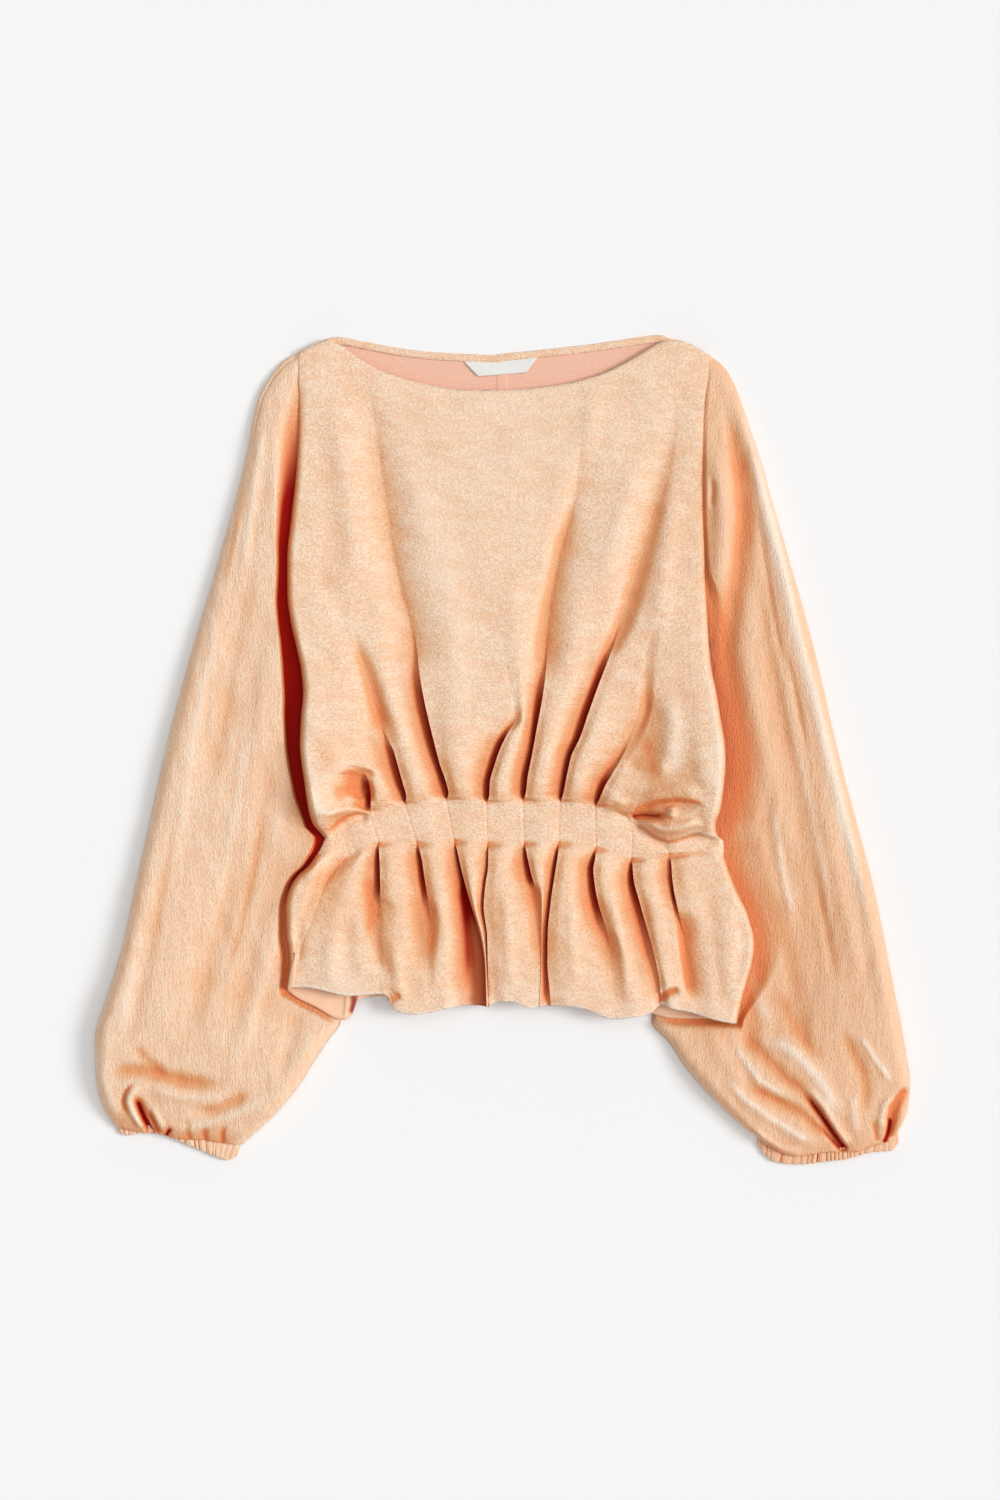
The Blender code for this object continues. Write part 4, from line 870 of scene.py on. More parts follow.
# sleeves
# section ends from shoulder to cuff: outer x, outer y, inner x, inner y
leftSleeve = {
    "side": -1, "underarm": 9,
    "sections": [
        (299.5, 350.5, 300.2, 351.5), (284, 359, 299, 366), (270, 374.5, 298.5, 387),
        (259, 393, 297.5, 415), (252.5, 416, 296, 447), (247, 446, 293, 485), (238, 485, 289, 525),
        (228, 522, 286, 568), (218, 557, 289, 610), (212, 578, 292, 632), (205.5, 600, 302, 655),
        (196, 632, 309, 690), (187, 664, 312, 730), (177.5, 698, 318, 770), (167, 738, 325, 815),
        (157, 782, 332, 865), (147, 828, 340, 910), (138, 868, 345, 955), (130, 905, 345, 995),
        (122, 943, 340, 1024), (113, 974, 328, 1041), (103, 1004, 314, 1062), (93.5, 1040, 297, 1089),
        (94.5, 1078, 277, 1113), (101, 1106, 256, 1133), (112, 1125, 243, 1145),
    ],
    # y, how far outside the body's edge the cloth starts to drop, width of the drop, painted shade on the
    # drop
    "fold": [
        (350, 1.5, 1.4, 0), (380, 7, 6.5, 0), (400, 14, 13, 0.12), (433, 24, 22, 0.36), (470, 22, 19, 0.68),
        (500, 18, 12, 0.9), (535, 14, 8, 1), (560, 11, 5.5, 1), (622, 14, 4.5, 1), (685, 21, 5, 1),
        (747, 15.5, 5, 1), (794, 13, 5, 1), (819, 9, 4.5, 1), (835, 12, 5, 1), (850, 10, 5, 1),
        (865, 8, 4, 1), (887, 7, 5.5, 0.7), (910, 8, 7, 0.40), (950, 10, 9, 0.30), (990, 9, 8, 0.22),
        (1020, 5, 4.5, 0.16), (1145, 3.5, 3, 0.16),
    ],
    "puff": [
        (0, 5.4, 5.4), (1, 7, 7.2), (2, 8.5, 9), (4, 11, 12.5), (7, 13, 15), (11, 15, 15.5), (14, 17, 13.5),
        (17, 19, 11.5), (19, 21, 12), (20, 22, 17), (21, 23, 21), (22, 22, 21), (23, 20, 19),
        (24, 15.5, 15), (25, 9.5, 9),
    ],
    # share across the cuff, how far the bloused cloth hangs below the last section
    "overhang": [(0, 1), (0.2, 2.5), (0.33, 1.5), (0.5, 3.5), (0.58, 3), (0.7, 1), (0.85, 1), (1, 0)],
    "creases": [
        # seam along the top of the arm
        crease([(320, 345), (304, 351), (285, 363), (273, 376), (262, 397), (256, 420), (251, 450)], 1.8,
               -1.5, taper=(0.05, 0.3)),
        # broad arch of orange painted shade over the cuff, and painted highlights on the cloth round it
        crease([(108, 1088), (113, 1078), (126, 1071), (142, 1071), (160, 1075), (182, 1081), (212, 1085),
               (240, 1086)], 11, -3, tone=0.5, taper=(0.2, 0.4)),
        crease([(134, 1042), (142, 1054), (154, 1065), (166, 1078)], 8, -1.5, tone=0.4),
        crease([(96, 1045), (100, 1070), (108, 1095), (118, 1118)], 8, 1.5, tone=-0.6),
        crease([(150, 1086), (172, 1094), (198, 1098), (225, 1098)], 8, 2, tone=-0.3),
        crease([(160, 1131), (190, 1128), (220, 1120), (250, 1108), (272, 1098)], 7, 2, tone=-0.5,
               taper=(0.3, 0.3)),
        crease([(196, 1112), (216, 1110), (236, 1101), (252, 1090)], 7, -1.5, tone=0.35),
        # fold that hooks round above the cuff, between two grooves, with a painted highlight on the fold and
        # painted shade in the grooves
        crease([(145, 1086.5), (136, 1088), (131, 1093), (129.5, 1101), (133, 1112), (138, 1121),
               (143, 1129)], 4.2, 3.5, tone=-0.9, taper=(0.25, 0.1)),
        crease([(128, 1118), (125, 1110), (124, 1101), (126, 1093), (131, 1086), (140, 1082)], 2.8, -3,
               tone=1.3, deepShade=0.25, taper=(0.35, 0.4)),
        crease([(136.5, 1095), (138, 1104), (142, 1115), (146.5, 1125), (151, 1135)], 4.4, -8, tone=1.2,
               deepShade=1.1, taper=(0.25, 0.05), lean=-0.35),
        crease([(148, 1109), (151, 1116), (154.5, 1123), (158, 1133)], 2.6, -4, tone=1.3, deepShade=0.5,
               taper=(0.3, 0.05)),
        crease([(152, 1104), (157, 1114), (161, 1124), (164, 1132)], 4.5, 2, tone=-0.5),
        crease([(172, 1127), (168, 1132), (164, 1139)], 2.6, -4, tone=1, deepShade=1.1, taper=(0.3, 0.1)),
        crease([(188, 1116), (187, 1128), (189, 1142)], 4, -1.5, tone=0.5, taper=(0.4, 0.1)),
        crease([(206, 1124), (204, 1134), (206, 1148)], 3.5, -2, tone=0.6, taper=(0.4, 0.1)),
        crease([(226, 1124), (222, 1134), (222, 1148)], 3.5, -2, tone=0.6, taper=(0.4, 0.1)),
        # long soft folds down the sleeve, with painted highlight streaks and bands of painted shade
        crease([(262, 410), (256, 470), (246, 540), (238, 600)], 9, 2, tone=-0.5),
        crease([(246, 470), (236, 540), (222, 610), (208, 680)], 6, 0.8, tone=0.3),
        crease([(226, 560), (212, 640), (198, 720), (184, 800), (174, 880)], 8, 1, tone=-0.45),
        crease([(252, 700), (240, 780), (226, 860), (206, 940)], 7, 0.8, tone=-0.4),
        crease([(288, 860), (276, 930), (258, 1000), (238, 1050)], 9, 1, tone=-0.4),
        crease([(186, 760), (174, 830), (160, 900), (150, 960)], 7, -0.8, tone=0.35),
        crease([(268, 780), (258, 850), (240, 930), (220, 990)], 6, -0.8, tone=0.35),
        crease([(140, 960), (128, 1000), (120, 1040)], 8, 0.8, tone=-0.5),
        crease([(250, 560), (236, 640), (222, 720), (205, 800)], 12, -1.6),
        crease([(268, 640), (262, 720), (250, 800), (236, 880)], 14, 1.8),
        crease([(205, 640), (190, 720), (176, 800), (166, 880)], 14, 1.6),
        crease([(240, 860), (222, 930), (200, 1000), (180, 1050)], 16, -2),
        crease([(270, 900), (262, 960), (250, 1020), (232, 1070)], 14, 2),
        crease([(160, 900), (146, 960), (132, 1020), (128, 1060)], 14, -1.8),
        crease([(300, 1000), (292, 1040), (276, 1080)], 12, -2),
    ],
}
rightSleeve = {
    "side": 1, "underarm": 9,
    "sections": [
        (708.6, 353.5, 708.2, 354.5), (722, 363, 707.5, 368), (733, 378.5, 706, 389),
        (742.5, 402, 704, 415), (751.5, 429, 703, 447), (762, 460, 703, 485), (772, 497, 703.5, 525),
        (783, 534, 705.5, 568), (794, 573, 707, 610), (800, 593, 709, 632), (806, 614, 705, 655),
        (816, 652, 707, 690), (825, 690, 706, 730), (834.5, 732, 701, 770), (845, 775, 697, 815),
        (857, 820, 686, 865), (868, 860, 676, 910), (876.5, 895, 666, 955), (883, 926, 659, 995),
        (889, 957, 652, 1022), (896, 993, 669, 1043), (902.5, 1025, 684, 1066), (908, 1057, 702, 1088),
        (911.5, 1085, 722, 1109), (909, 1115, 743, 1130), (898, 1142, 760, 1143),
    ],
    "fold": [
        (350, 1.5, 1.4, 0), (560, 3, 2.8, 0), (600, 16, 15.5, 0.2), (640, 34, 33, 0.42),
        (700, 42, 41, 0.50), (760, 42, 41, 0.48), (800, 41, 40, 0.44), (835, 41, 40, 0.40),
        (860, 41, 40, 0.30), (900, 38, 37, 0.18), (945, 30, 29, 0.05), (985, 22, 21, 0), (1023, 6, 5, 0.08),
        (1145, 3.5, 3, 0.14),
    ],
    "puff": [
        (0, 5.4, 5.4), (1, 7.4, 7.6), (2, 9.4, 9.6), (4, 12, 11.5), (7, 14, 12.5), (11, 16, 12),
        (14, 17.5, 11.5), (17, 19, 11), (19, 21, 10.5), (20, 22, 13), (21, 23, 17), (22, 22, 19),
        (23, 20, 18), (24, 15.5, 15), (25, 9.5, 9),
    ],
    "overhang": [
        (0, -6), (0.06, -1), (0.2, 4.5), (0.3, 9.5), (0.4, 9.5), (0.55, 10.5), (0.72, 13.5), (0.85, 9.5),
        (0.93, 3.5), (1, -3.5),
    ],
    "creases": [
        # bulge beside the armhole and the valley round it, a band of painted shade along the body's edge and
        # a painted highlight lower down
        crease([(714, 435), (719, 470), (723, 520), (720, 565), (713, 610)], 14, 5.5, taper=(0.3, 0.3)),
        crease([(714, 372), (724, 400), (733, 440), (740, 480), (742, 520), (738, 566), (730, 610),
               (724, 650), (724, 700), (730, 760)], 13, -5.5, tone=0.1, taper=(0.25, 0.25), lean=-0.3),
        crease([(712, 560), (719, 640), (726, 690), (731, 745), (726, 800)], 12, -0.4, tone=1.3),
        crease([(724, 925), (724, 965), (714, 1000), (712, 1035)], 13, 0, tone=-1.2),
        crease([(712, 478), (713, 492), (711, 508)], 4, -2.5),
        # raised streaks down the outside of the sleeve, with painted highlights and some painted shade
        crease([(730, 380), (748, 430), (764, 490), (782, 560), (800, 640)], 9, 2.4, tone=-0.5),
        crease([(756, 500), (764, 560), (774, 620), (788, 690)], 5, -1.2),
        crease([(783, 640), (796, 700), (808, 760)], 5, -1.3),
        crease([(770, 800), (782, 870), (794, 930)], 7, 1.4, tone=-0.8),
        crease([(812, 860), (826, 930), (836, 990)], 7, -1.4),
        crease([(748, 430), (762, 500), (778, 570), (798, 640), (816, 710), (834, 780), (850, 850),
               (862, 920), (870, 980)], 10, 1.4, tone=-1.15, taper=(0.2, 0.3)),
        crease([(776, 640), (790, 720), (808, 800), (824, 880), (834, 950)], 6, 0.8, tone=-0.6),
        crease([(738, 700), (748, 780), (764, 860), (784, 940), (800, 1000)], 12, 0.8, tone=0.35),
        crease([(752, 560), (766, 640), (782, 720), (800, 800)], 13, -1.8),
        crease([(742, 640), (756, 720), (776, 800), (798, 880)], 15, 2.4),
        crease([(812, 760), (830, 840), (846, 920), (858, 990)], 14, 1.8),
        crease([(836, 800), (852, 880), (866, 960), (874, 1030)], 10, -1.6),
        crease([(770, 880), (786, 950), (800, 1020), (808, 1070)], 14, -2.2),
        crease([(760, 960), (752, 1010), (748, 1060)], 12, -1.8),
        crease([(706, 1020), (726, 1060), (750, 1100)], 12, 2),
        # streaks of painted highlight and bands of orange painted shade that run together above the cuff
        crease([(752, 1030), (772, 1040), (795, 1052), (815, 1075), (830, 1099), (846, 1122)], 10, 2.2,
               tone=-1, taper=(0.3, 0.25)),
        crease([(728, 1030), (742, 1056), (759, 1081), (778, 1092), (798, 1104)], 7, 1.8, tone=-0.9,
               taper=(0.3, 0.25)),
        crease([(722, 1074), (742, 1097), (766, 1115), (795, 1134), (818, 1147)], 7, 2.2, tone=-0.9,
               taper=(0.25, 0.2)),
        crease([(744, 925), (748, 965), (758, 1000), (776, 1034)], 9, 1.2, tone=-0.9),
        crease([(712, 990), (728, 1018), (742, 1050)], 8, 0.8, tone=-0.5),
        crease([(774, 985), (796, 1030), (822, 1066)], 10, -1, tone=0.5),
        crease([(738, 1030), (758, 1050), (783, 1077), (808, 1095)], 9, -2.2, tone=0.65, taper=(0.3, 0.15)),
        crease([(738, 1074), (756, 1090), (778, 1101), (803, 1115), (826, 1138)], 8.5, -2.2, tone=0.65,
               taper=(0.3, 0.1)),
        crease([(838, 1026), (850, 1048), (862, 1073), (865, 1094), (860, 1118)], 8, -1.6, tone=0.55),
        crease([(856, 1030), (872, 1056), (885, 1074), (893, 1086)], 4.5, 1.6, tone=-1.1),
        crease([(852, 1090), (853, 1115), (857, 1138)], 7, 1.6, tone=-0.7),
        # main fold above the cuff with a painted highlight, and the groove below it with painted shade
        crease([(799, 1082), (812, 1093.5), (822, 1106), (830, 1119), (839, 1133), (850, 1147)], 4.5, 3.5,
               tone=-0.5, taper=(0.35, 0.1), lean=-0.3),
        crease([(797, 1089), (811, 1100), (820, 1111), (829, 1125), (838, 1138), (848, 1151)], 4.2, -7,
               tone=1.3, deepShade=0.95, taper=(0.35, 0.05), lean=0.5),
        crease([(818, 1124), (827, 1135), (838, 1147), (844, 1152)], 2.4, -3.5, tone=1.4, deepShade=0.6,
               taper=(0.35, 0.1)),
        # mouth of the right fold, with painted shade inside it and a painted highlight on its lip
        crease([(908, 1085), (899, 1096), (892, 1109), (890.5, 1122), (889, 1138)], 6.8, -7.5, tone=1.6,
               deepShade=0.15, taper=(0.15, 0.05), lean=-0.45),
        crease([(888, 1113), (890.5, 1123), (888.5, 1134), (884, 1144)], 3.2, -3, tone=1, deepShade=1.1,
               taper=(0.35, 0.05)),
        crease([(893, 1092), (884, 1104), (880, 1118), (882, 1132)], 4.5, 3, tone=-0.7),
        crease([(872, 1118), (875, 1130), (878, 1142)], 2.6, -2, tone=0.9, taper=(0.4, 0.1)),
        crease([(750, 1124), (764, 1138), (784, 1150), (806, 1155)], 5, 2, tone=-0.3),
    ],
}
sleeveShape = {
    "wall": 0.6 * mm, "rows": 236, "outerColumns": 94, "dropColumns": 12, "lowColumns": 16, "under": 26,
    "rowCrowd": 0.9, "columnCrowd": 0.45, "foldRounds": 14, "foldShare": (0.3, 0.97),
    "edge": 3.4, "round": 15.0, "underRound": 4.0, "gap": -0.8, "seamEase": 6.0, "thinnest": 2.4,
    "rollLowest": 1.2, "merge": 0.02 * mm,
    # unevenness: size, seed, stretch, turn, height
    "rumples": ((52, 21, (1.0, 2.2), 0.2, 0.7), (16, 31, (1.0, 2.4), 0.25, 0.22)),
    # how the bloused end rolls under to the cuff: how far out, how far down
    "roll": ((0.7, 1.2), (0.9, 2.6), (0.2, 3.6), (-2.5, 4.2)),
}


def makeSleeve(name, sleeve, cloth):
    side, rows, shape = sleeve["side"], sleeveShape["rows"], sleeveShape
    count, rolls = len(sleeve["sections"]), len(shape["roll"])
    where = np.linspace(0, 1, rows) ** shape["rowCrowd"] * (count - 1)
    outerX, outerY, innerX, innerY = (
        curve([(k, row[part]) for k, row in enumerate(sleeve["sections"])])(where) for part in range(4))
    bodyEdge = leftSide if side < 0 else rightSide
    foldAt, foldWidth, dropShade = (curve(sleeve["fold"], part) for part in (1, 2, 3))
    opened = (where <= sleeve["underarm"] + 0.4)[:, None]
    innerX = np.where(opened[:, 0], bodyEdge(innerY) + side * shape["gap"], innerX)
    width = np.maximum(np.hypot(innerX - outerX, innerY - outerY), 1.0)
    across = np.where(np.abs(innerX - outerX) < 1, 1, innerX - outerX)
    share = np.full(rows, 0.6)
    for _ in range(shape["foldRounds"]):
        foldY = mix(outerY, innerY, share)
        foldX = bodyEdge(foldY) + side * foldAt(foldY)
        share = np.clip((foldX - outerX) / across, *shape["foldShare"])
    dropShare = np.minimum(share + foldWidth(foldY) / width, mix(share, 1.0, 0.9))

    # columns crowd at the outer edge and over the drop beside the body
    crowd = math.pi * shape["columnCrowd"]
    spread = np.sin(np.linspace(0, 1, shape["outerColumns"])[None, :] * crowd) / math.sin(crowd)
    dropSteps, lowSteps = (
        np.linspace(0, 1, shape[part] + 1)[None, 1:] for part in ("dropColumns", "lowColumns"))
    t = np.concatenate([
        spread * share[:, None],
        mix(share[:, None], dropShare[:, None], dropSteps),
        mix(dropShare[:, None], 1.0, lowSteps),
    ], axis=1)
    px = mix(outerX[:, None], innerX[:, None], t)
    nearCuff = smoothed((where[:, None] - count + 4) / 3)
    py = mix(outerY[:, None], innerY[:, None], t) + curve(sleeve["overhang"])(t) * nearCuff
    outerHalf, besideFold = (curve(sleeve["puff"], part)(where)[:, None] for part in (1, 2))
    puffed = mix(outerHalf, besideFold, smoothed(t / share[:, None]))
    belowArm = smoothed((where[:, None] - sleeve["underarm"] + 1.6) / 2.0)
    under = mix(armholeTop(py, side), heights["sleeveUnderBody"], belowArm)
    clear = smoothed((py - curve(backHem)(px) - 1.5) / 8)
    fall = smoothed((t - share[:, None]) / np.maximum(dropShare - share, 1e-4)[:, None])
    height = mix(puffed, mix(np.minimum(under, puffed), puffed, clear), fall)
    loose = 1 - fall * (1 - clear)
    creases = creased(px, py, sleeve["creases"])
    creases[0::2] *= loose
    height = height + creases[0]
    for size, seed, stretch, turn, rise in shape["rumples"]:
        height = height + rumple(px, py, size, seed + side, stretch, side * turn) * rise * loose
    near, far = t * width[:, None], (1 - t) * width[:, None]
    rim = np.where(opened, near, np.minimum(near, far))
    roundOff = rounded(rim, shape["round"])
    height = mix(shape["edge"] * 0.5, np.maximum(height, shape["thinnest"]), roundOff)
    height = mix(height, under - 0.5, np.where(opened, smoothed(1 - far / shape["seamEase"]), 0.0))
    # painted shade on the drop under the body and inside the creases
    paintedShade = np.clip(fall ** 1.5 * (1 - clear) * dropShade(py) + creases[2], 0, 1)
    shaded = smoothed((rim - 3) / 14)

    # the upper cloth rolls under at the cuff, and the lower cloth lies on the table
    upper = [place(px, py, height)]
    for outward, low in shape["roll"]:
        rolled = np.maximum(height[-1:] - low * roundOff[-1:], shape["rollLowest"])
        upper.append(place(px[-1:], py[-1:] + outward * roundOff[-1:], rolled))
    upper = np.concatenate(upper, axis=0)
    u = np.linspace(0, 1, shape["under"])[None, :]
    ux, uy = mix(outerX[:, None], innerX[:, None], u), mix(outerY[:, None], innerY[:, None], u)
    uRim = np.where(opened, u, np.minimum(u, 1 - u)) * width[:, None]
    lift = 1 - rounded(uRim, shape["underRound"])
    lower = place(ux, uy + curve(sleeve["overhang"])(u) * nearCuff, lift * shape["edge"] * 0.5)
    lower = np.concatenate([lower] + [lower[-1:]] * rolls, axis=0)
    closedRows = np.concatenate([~opened[:, 0], [True] * rolls])
    lower[:, 0] = upper[:, 0]
    lower[closedRows, -1] = upper[closedRows, -1]
    points = np.concatenate([lower[:, ::-1], upper[:, 1:]], axis=1)
    flat = np.zeros((rows + rolls, shape["under"]))
    paintedShade, shaded, paintedShading = (
        np.concatenate([flat, np.concatenate([v, np.repeat(v[-1:], rolls, axis=0)])[:, 1:]], axis=1)
        for v in (paintedShade, shaded, creases[1]))
    obj = gridMesh(name, points, flip=side > 0, depth=paintedShade, shaded=shaded, paintedShading=paintedShading)
    made = bmesh.new()
    made.from_mesh(obj.data)
    bmesh.ops.remove_doubles(made, verts=made.verts, dist=shape["merge"])
    made.to_mesh(obj.data)
    made.free()
    return dress(obj, shape["wall"], cloth, reverse)


print("sleeves")
sleeveLeft = makeSleeve("leftBalloonSleeve", leftSleeve, leftSatin)
sleeveRight = makeSleeve("rightBalloonSleeve", rightSleeve, rightSatin)


# elasticated cuffs
# share across, then the place of the upper edge under the sleeve and of the lower edge
leftCuff = {
    "edges": [
        (0, 115, 1123, 118, 1134.5), (0.1, 127, 1123.5, 128, 1136), (0.2, 139, 1125, 141, 1134),
        (0.32, 157, 1127, 156, 1134), (0.4, 166, 1129.5, 166, 1137), (0.55, 184, 1134, 186, 1145),
        (0.7, 203, 1136, 203, 1152), (0.85, 222, 1139, 219, 1159), (0.93, 231, 1141, 227, 1161),
        (1, 240, 1144, 236, 1157),
    ],
    "waves": 22, "seed": 4,
}
rightCuff = {
    "edges": [
        (0, 899, 1132, 900, 1143), (0.06, 891, 1137, 893, 1151), (0.2, 872, 1143, 872, 1153),
        (0.3, 857, 1148, 857, 1157), (0.4, 846, 1148, 846, 1160), (0.55, 826, 1149, 825, 1162.5),
        (0.72, 803, 1152, 800, 1165), (0.85, 782, 1148, 780, 1163.5), (0.93, 769, 1142, 768, 1158),
        (1, 758, 1135, 758, 1146),
    ],
    "waves": 23, "seed": 8,
}
cuffShape = {
    "wall": 0.6 * mm, "height": 5.6, "endHeight": 2.2, "ruche": 1.7, "edgeWave": 1.6, "along": 16,
    "across": 300,
}


def makeCuff(name, cuff, cloth):
    t = np.linspace(0, 1, cuffShape["across"])[None, :]
    s = np.linspace(0, 1, cuffShape["along"])[:, None]
    upperX, upperY, lowerX, lowerY = (curve(cuff["edges"], c)(t) for c in range(1, 5))
    rng = np.random.default_rng(cuff["seed"])
    steps = np.cumsum(rng.uniform(0.35, 1.8, cuff["waves"] + 1))
    steps = (steps - steps[0]) / (steps[-1] - steps[0])
    gather = np.interp(t[0], steps, np.arange(len(steps)) * math.pi)[None, :]
    slant, strength = (np.interp(t[0], np.linspace(0, 1, 9), rng.uniform(*reach, 9))[None, :]
                       for reach in ((-1.6, 2.2), (0.45, 1.0)))
    ridge = 1 - (1 - np.abs(np.sin(gather + s * slant)) ** 0.7) * strength
    swell = np.sin(np.pi * np.clip(t, 0.002, 0.998)) ** 0.3
    belly = np.sqrt(np.clip(1 - (2 * s - 1) ** 2 * 0.8, 0, 1))
    px = mix(upperX, lowerX, s)
    py = mix(upperY, lowerY, s) + (ridge - 0.6) * cuffShape["edgeWave"] * s
    top = mix(cuffShape["endHeight"], cuffShape["height"], swell) * mix(0.7, 1.0, belly)
    top = top + (ridge - 0.7) * cuffShape["ruche"] * swell
    upper = place(px, py, top)
    lower = place(px, py, (1 - swell) * 1.2 + 0 * top)
    points = np.concatenate([upper, lower[:, ::-1]], axis=1)
    # painted shade between the ruches
    paintedShade = smoothed((0.72 - ridge) / 0.72) * swell
    depth = np.concatenate([paintedShade, np.zeros_like(paintedShade)], axis=1)
    flip = upperX[0, 0] > upperX[0, -1]
    obj = gridMesh(name, points, flip=flip, closed=True, depth=depth, shaded=np.zeros_like(depth))
    return dress(obj, cuffShape["wall"], cloth, reverse)


print("cuffs")
cuffLeft = makeCuff("leftElasticCuff", leftCuff, leftSatin)
cuffRight = makeCuff("rightElasticCuff", rightCuff, rightSatin)


# back neck band and label
neck = {"from": 325.0, "to": 672.0, "width": 7.6, "above": 0.75, "crown": 0.45, "wall": 0.5 * mm}
# the label's left and right edge at its top and at its foot, and how far down its foot hangs
labelShape = {
    "top": (462.8, 537.5), "foot": (478.0, 526.5), "hang": (375.3, 371.3), "underBand": 0.8,
    "above": 1.2, "curl": 0.9, "wave": 0.25, "wall": 0.35 * mm,
}


def makeNeckBand():
    s = np.linspace(0, 1, 9)[:, None]
    x = np.linspace(neck["from"], neck["to"], 180)[None, :] + 0 * s
    py = curve(backTop)(x) + s * neck["width"]
    crown = np.sin(np.pi * s) ** 0.5 * neck["crown"]
    height = backLift(x, py) + back["wall"] / mm + neck["above"] + crown + rumple(x, py, 14, 41) * 0.08
    obj = gridMesh("backNeckBand", place(x, py, height))
    return dress(obj, neck["wall"], bodySatin)


def makeLabel():
    shape = labelShape
    s, t = np.linspace(0, 1, 14)[:, None], np.linspace(0, 1, 40)[None, :]
    left, right = (mix(shape["top"][side], shape["foot"][side], s) for side in (0, 1))
    px = mix(left, right, t)
    py = mix(curve(backTop)(px) + neck["width"] - shape["underBand"], mix(*shape["hang"], t), s)
    height = shape["above"] + shape["curl"] * np.sin(np.pi * s * 0.8) + shape["wave"] * np.sin(t * 7.0)
    obj = gridMesh("blankLabel", place(px, py, height))
    return dress(obj, shape["wall"], labelCloth)


print("neck band and label")
neckBand = makeNeckBand()
label = makeLabel()


# camera, floor and light
studio = {
    "lens": 85.0, "sensor": 36.0, "clothTop": 12 * mm, "world": 0.38, "floorSize": 8.0,
    "floorDrop": 0.4 * mm, "floor": (0.80, 0.80, 0.80), "floorGlow": 0.10,
    # name, where the light comes from, its angular size, its strength
    "suns": (("keySun", (1.0, 0.05, 0.80), 24.0, 2.0), ("topSun", (0.10, 0.12, 1.0), 70.0, 0.80)),
}


def setStudio():
    scene = bpy.context.scene
    scene.view_settings.view_transform = "Standard"
    camera = bpy.data.objects.new("camera", bpy.data.cameras.new("camera"))
    scene.collection.objects.link(camera)
    camera.data.lens, camera.data.sensor_width = studio["lens"], studio["sensor"]
    distance = photo["height"] * metrePerPx * studio["lens"] / studio["sensor"]
    middle = place(photo["width"] / 2, photo["height"] / 2, 0)
    camera.location = middle + (0, 0, distance + studio["clothTop"])
    camera.rotation_euler = (0, 0, 0)
    scene.camera = camera

    kit = ShaderKit("studioFloor")
    floorMaterial = kit.finish({
        "Base Color": studio["floor"], "Roughness": 0.9, "Specular IOR Level": 0.0,
        "Emission Color": (1.0, 1.0, 1.0), "Emission Strength": studio["floorGlow"]})
    floorMesh = bpy.data.meshes.new("studioFloor")
    grid = bmesh.new()
    bmesh.ops.create_grid(grid, x_segments=1, y_segments=1, size=studio["floorSize"])
    grid.to_mesh(floorMesh)
    grid.free()
    floor = bpy.data.objects.new("studioFloor", floorMesh)
    floor.location.z = -studio["floorDrop"]
    floorMesh.materials.append(floorMaterial)
    scene.collection.objects.link(floor)

    world = bpy.data.worlds.new("studio")
    scene.world = world
    world.use_nodes = True
    world.node_tree.nodes["Background"].inputs["Color"].default_value = (1.0, 1.0, 1.0, 1.0)
    world.node_tree.nodes["Background"].inputs["Strength"].default_value = studio["world"]
    for name, source, spread, strength in studio["suns"]:
        lamp = bpy.data.lights.new(name, "SUN")
        lamp.energy, lamp.angle = strength, math.radians(spread)
        holder = bpy.data.objects.new(name, lamp)
        holder.rotation_euler = Vector(source).to_track_quat("Z", "Y").to_euler()
        scene.collection.objects.link(holder)


# stitches lie on the finished cloth, found by looking down on it
def surfaceOf(obj):
    return BVHTree.FromObject(obj, bpy.context.evaluated_depsgraph_get())


def stitchRow(made, surface, path, seed):
    # short slanting lens-shaped stitches along a path of photograph pixels
    rng = np.random.default_rng(seed)
    px, py = np.array(path, float).T
    path = place(px, py, 0 * px)
    walked = np.concatenate([[0], np.cumsum(np.linalg.norm(np.diff(path, axis=0), axis=1))])
    angles = [2 * math.pi * k / stitching["sides"] for k in range(stitching["sides"])]
    length, at = stitching["length"], stitching["gap"]
    while at + length < walked[-1]:
        before, middle, after = (
            Vector([float(np.interp(at + share * length, walked, path[:, axis])) for axis in (0, 1)] + [0.2])
            for share in (0.3, 0.5, 0.7))
        at += length + stitching["gap"] * rng.uniform(0.8, 1.2)
        spot, normal, _, _ = surface.ray_cast(middle, Vector((0, 0, -1)))
        if spot is None:
            continue
        along = (after - before).normalized()
        along = (along - normal * along.dot(normal)).normalized()
        along = (along + normal.cross(along) * rng.uniform(-0.02, 0.10)).normalized()
        across = normal.cross(along)
        rings = []
        for share, girth in stitching["girths"]:
            centre = spot + along * share * length + normal * (stitching["lift"] * girth)
            radius = stitching["thick"] * 0.5 * girth
            rings.append([
                made.verts.new(centre + (across * math.cos(a) + normal * math.sin(a) * 0.7) * radius)
                for a in angles])
        for first, second in zip(rings[:-1], rings[1:]):
            for k in range(len(angles)):
                made.faces.new((first[k - 1], first[k], second[k], second[k - 1])).smooth = True
        made.faces.new(rings[0])
        made.faces.new(rings[-1][::-1])


def makeStitches(name, rows):
    made = bmesh.new()
    for seed, (surface, path) in enumerate(rows):
        stitchRow(made, surface, path, seed)
    bmesh.ops.recalc_face_normals(made, faces=made.faces)
    mesh = bpy.data.meshes.new(name)
    made.to_mesh(mesh)
    made.free()
    obj = bpy.data.objects.new(name, mesh)
    bpy.context.scene.collection.objects.link(obj)
    obj.data.materials.append(thread)
    return obj


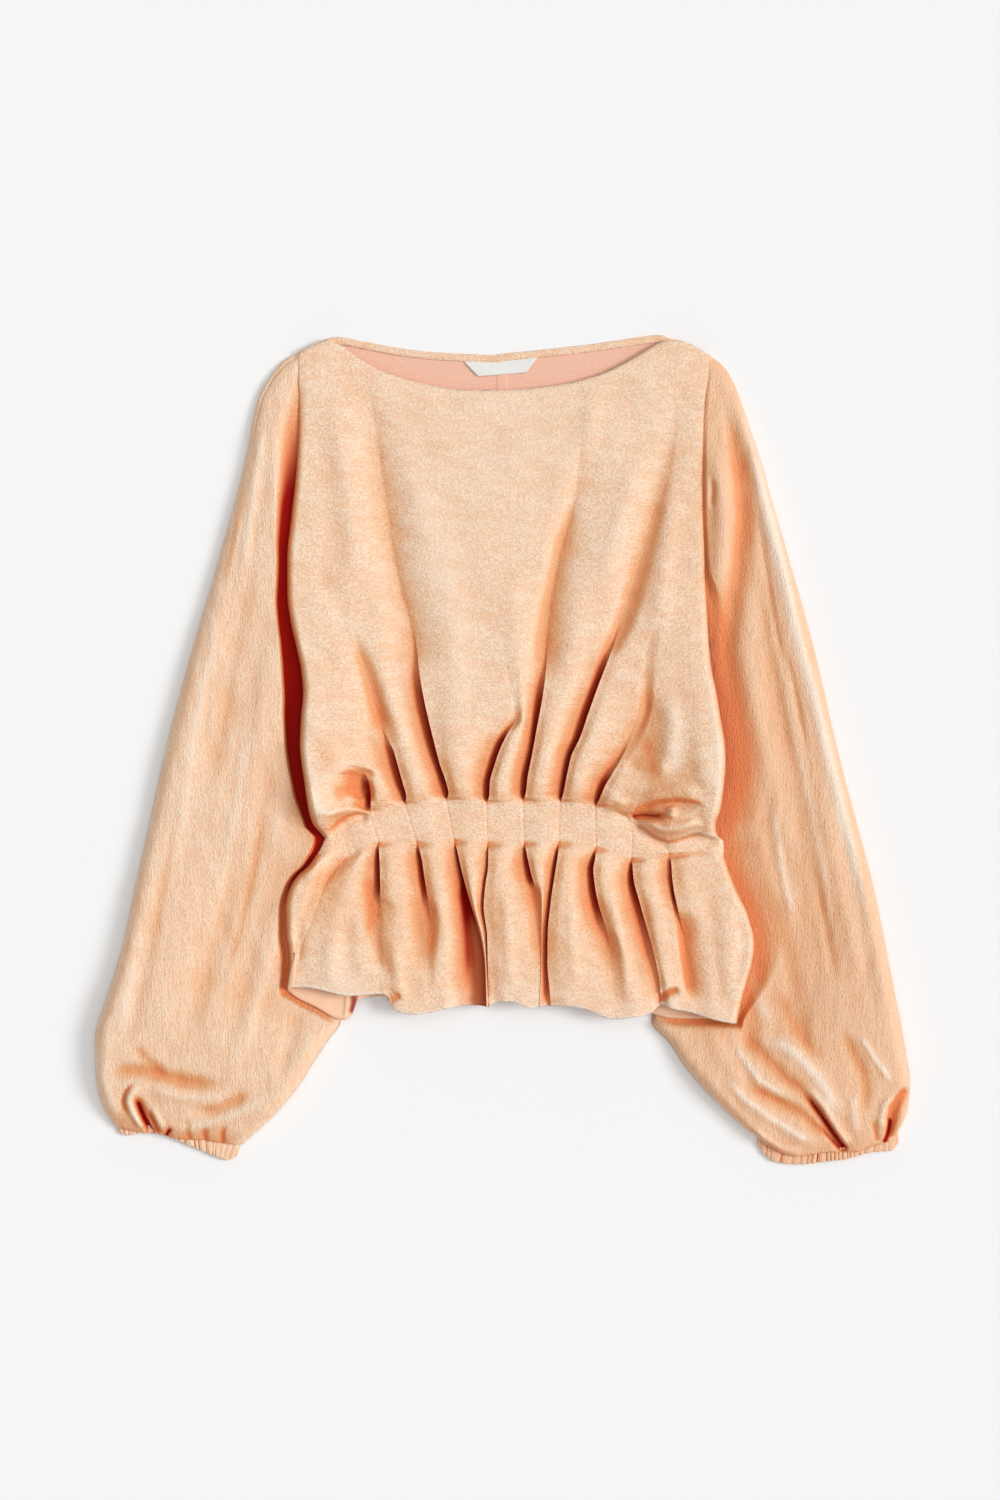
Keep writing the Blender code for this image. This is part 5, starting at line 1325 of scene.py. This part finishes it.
def sewPieces():
    n = stitching
    on = {piece: surfaceOf(piece) for piece in (frontPanel, backPanel, neckBand)}
    hemX = np.linspace(n["hemFrom"], n["hemTo"], n["hemPoints"])
    hem = [(px, float(curve(frontHem)(px)) - n["hemInset"]) for px in hemX]
    neckX = np.linspace(n["neckFrom"], n["neckTo"], n["neckPoints"])
    neckRows = [[(px, float(curve(backTop)(px)) + inset) for px in neckX] for inset in n["neckRows"]]
    backSeam = [[(px, py) for py in n["backSeam"]] for px in back["seam"]]
    return (makeStitches("hemStitches", [(on[frontPanel], hem)]),
            makeStitches("neckStitches", [(on[neckBand], row) for row in neckRows]),
            makeStitches("backSeamStitches", [(on[backPanel], row) for row in backSeam]))


print("studio")
setStudio()
print("hollows")
shadeHollows([frontPanel, sleeveLeft, sleeveRight, cuffLeft, cuffRight])
print("stitches")
hemStitches, neckStitches, backSeamStitches = sewPieces()

replaced = {
    "front": (frontPanel, "satin"), "back": (backPanel, "satin_reverse"),
    "sleeve_left": (sleeveLeft, "satin"), "sleeve_right": (sleeveRight, "satin"),
    "cuff_left": (cuffLeft, "satin"), "cuff_right": (cuffRight, "satin"),
    "neck_binding": (neckBand, "satin"), "label": (label, "label_white"),
}
for node, (piece, slotName) in replaced.items():
    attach(piece, "root")
    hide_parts(node)
for piece in (hemStitches, neckStitches, backSeamStitches):
    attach(piece, "root")

# piece, cut size in metres, flat area, what it lies on, what is sewn to it
sheets = [
    (frontPanel, (0.60, 0.66), 0.340, [backPanel], [hemStitches]),
    (backPanel, (0.46, 0.62), 0.240, [], [backSeamStitches]),
    (sleeveLeft, (0.45, 0.74), 0.250, [], []),
    (sleeveRight, (0.45, 0.74), 0.250, [], []),
    (cuffLeft, (0.22, 0.0145), None, [], []),
    (cuffRight, (0.22, 0.0155), None, [], []),
    (neckBand, (0.31, 0.0105), 0.0024, [backPanel], [neckStitches]),
    (label, (0.066, 0.0135), None, [backPanel], []),
]
for piece, flat, area, restsOn, sewn in sheets:
    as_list(restsOn)
    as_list(sewn)
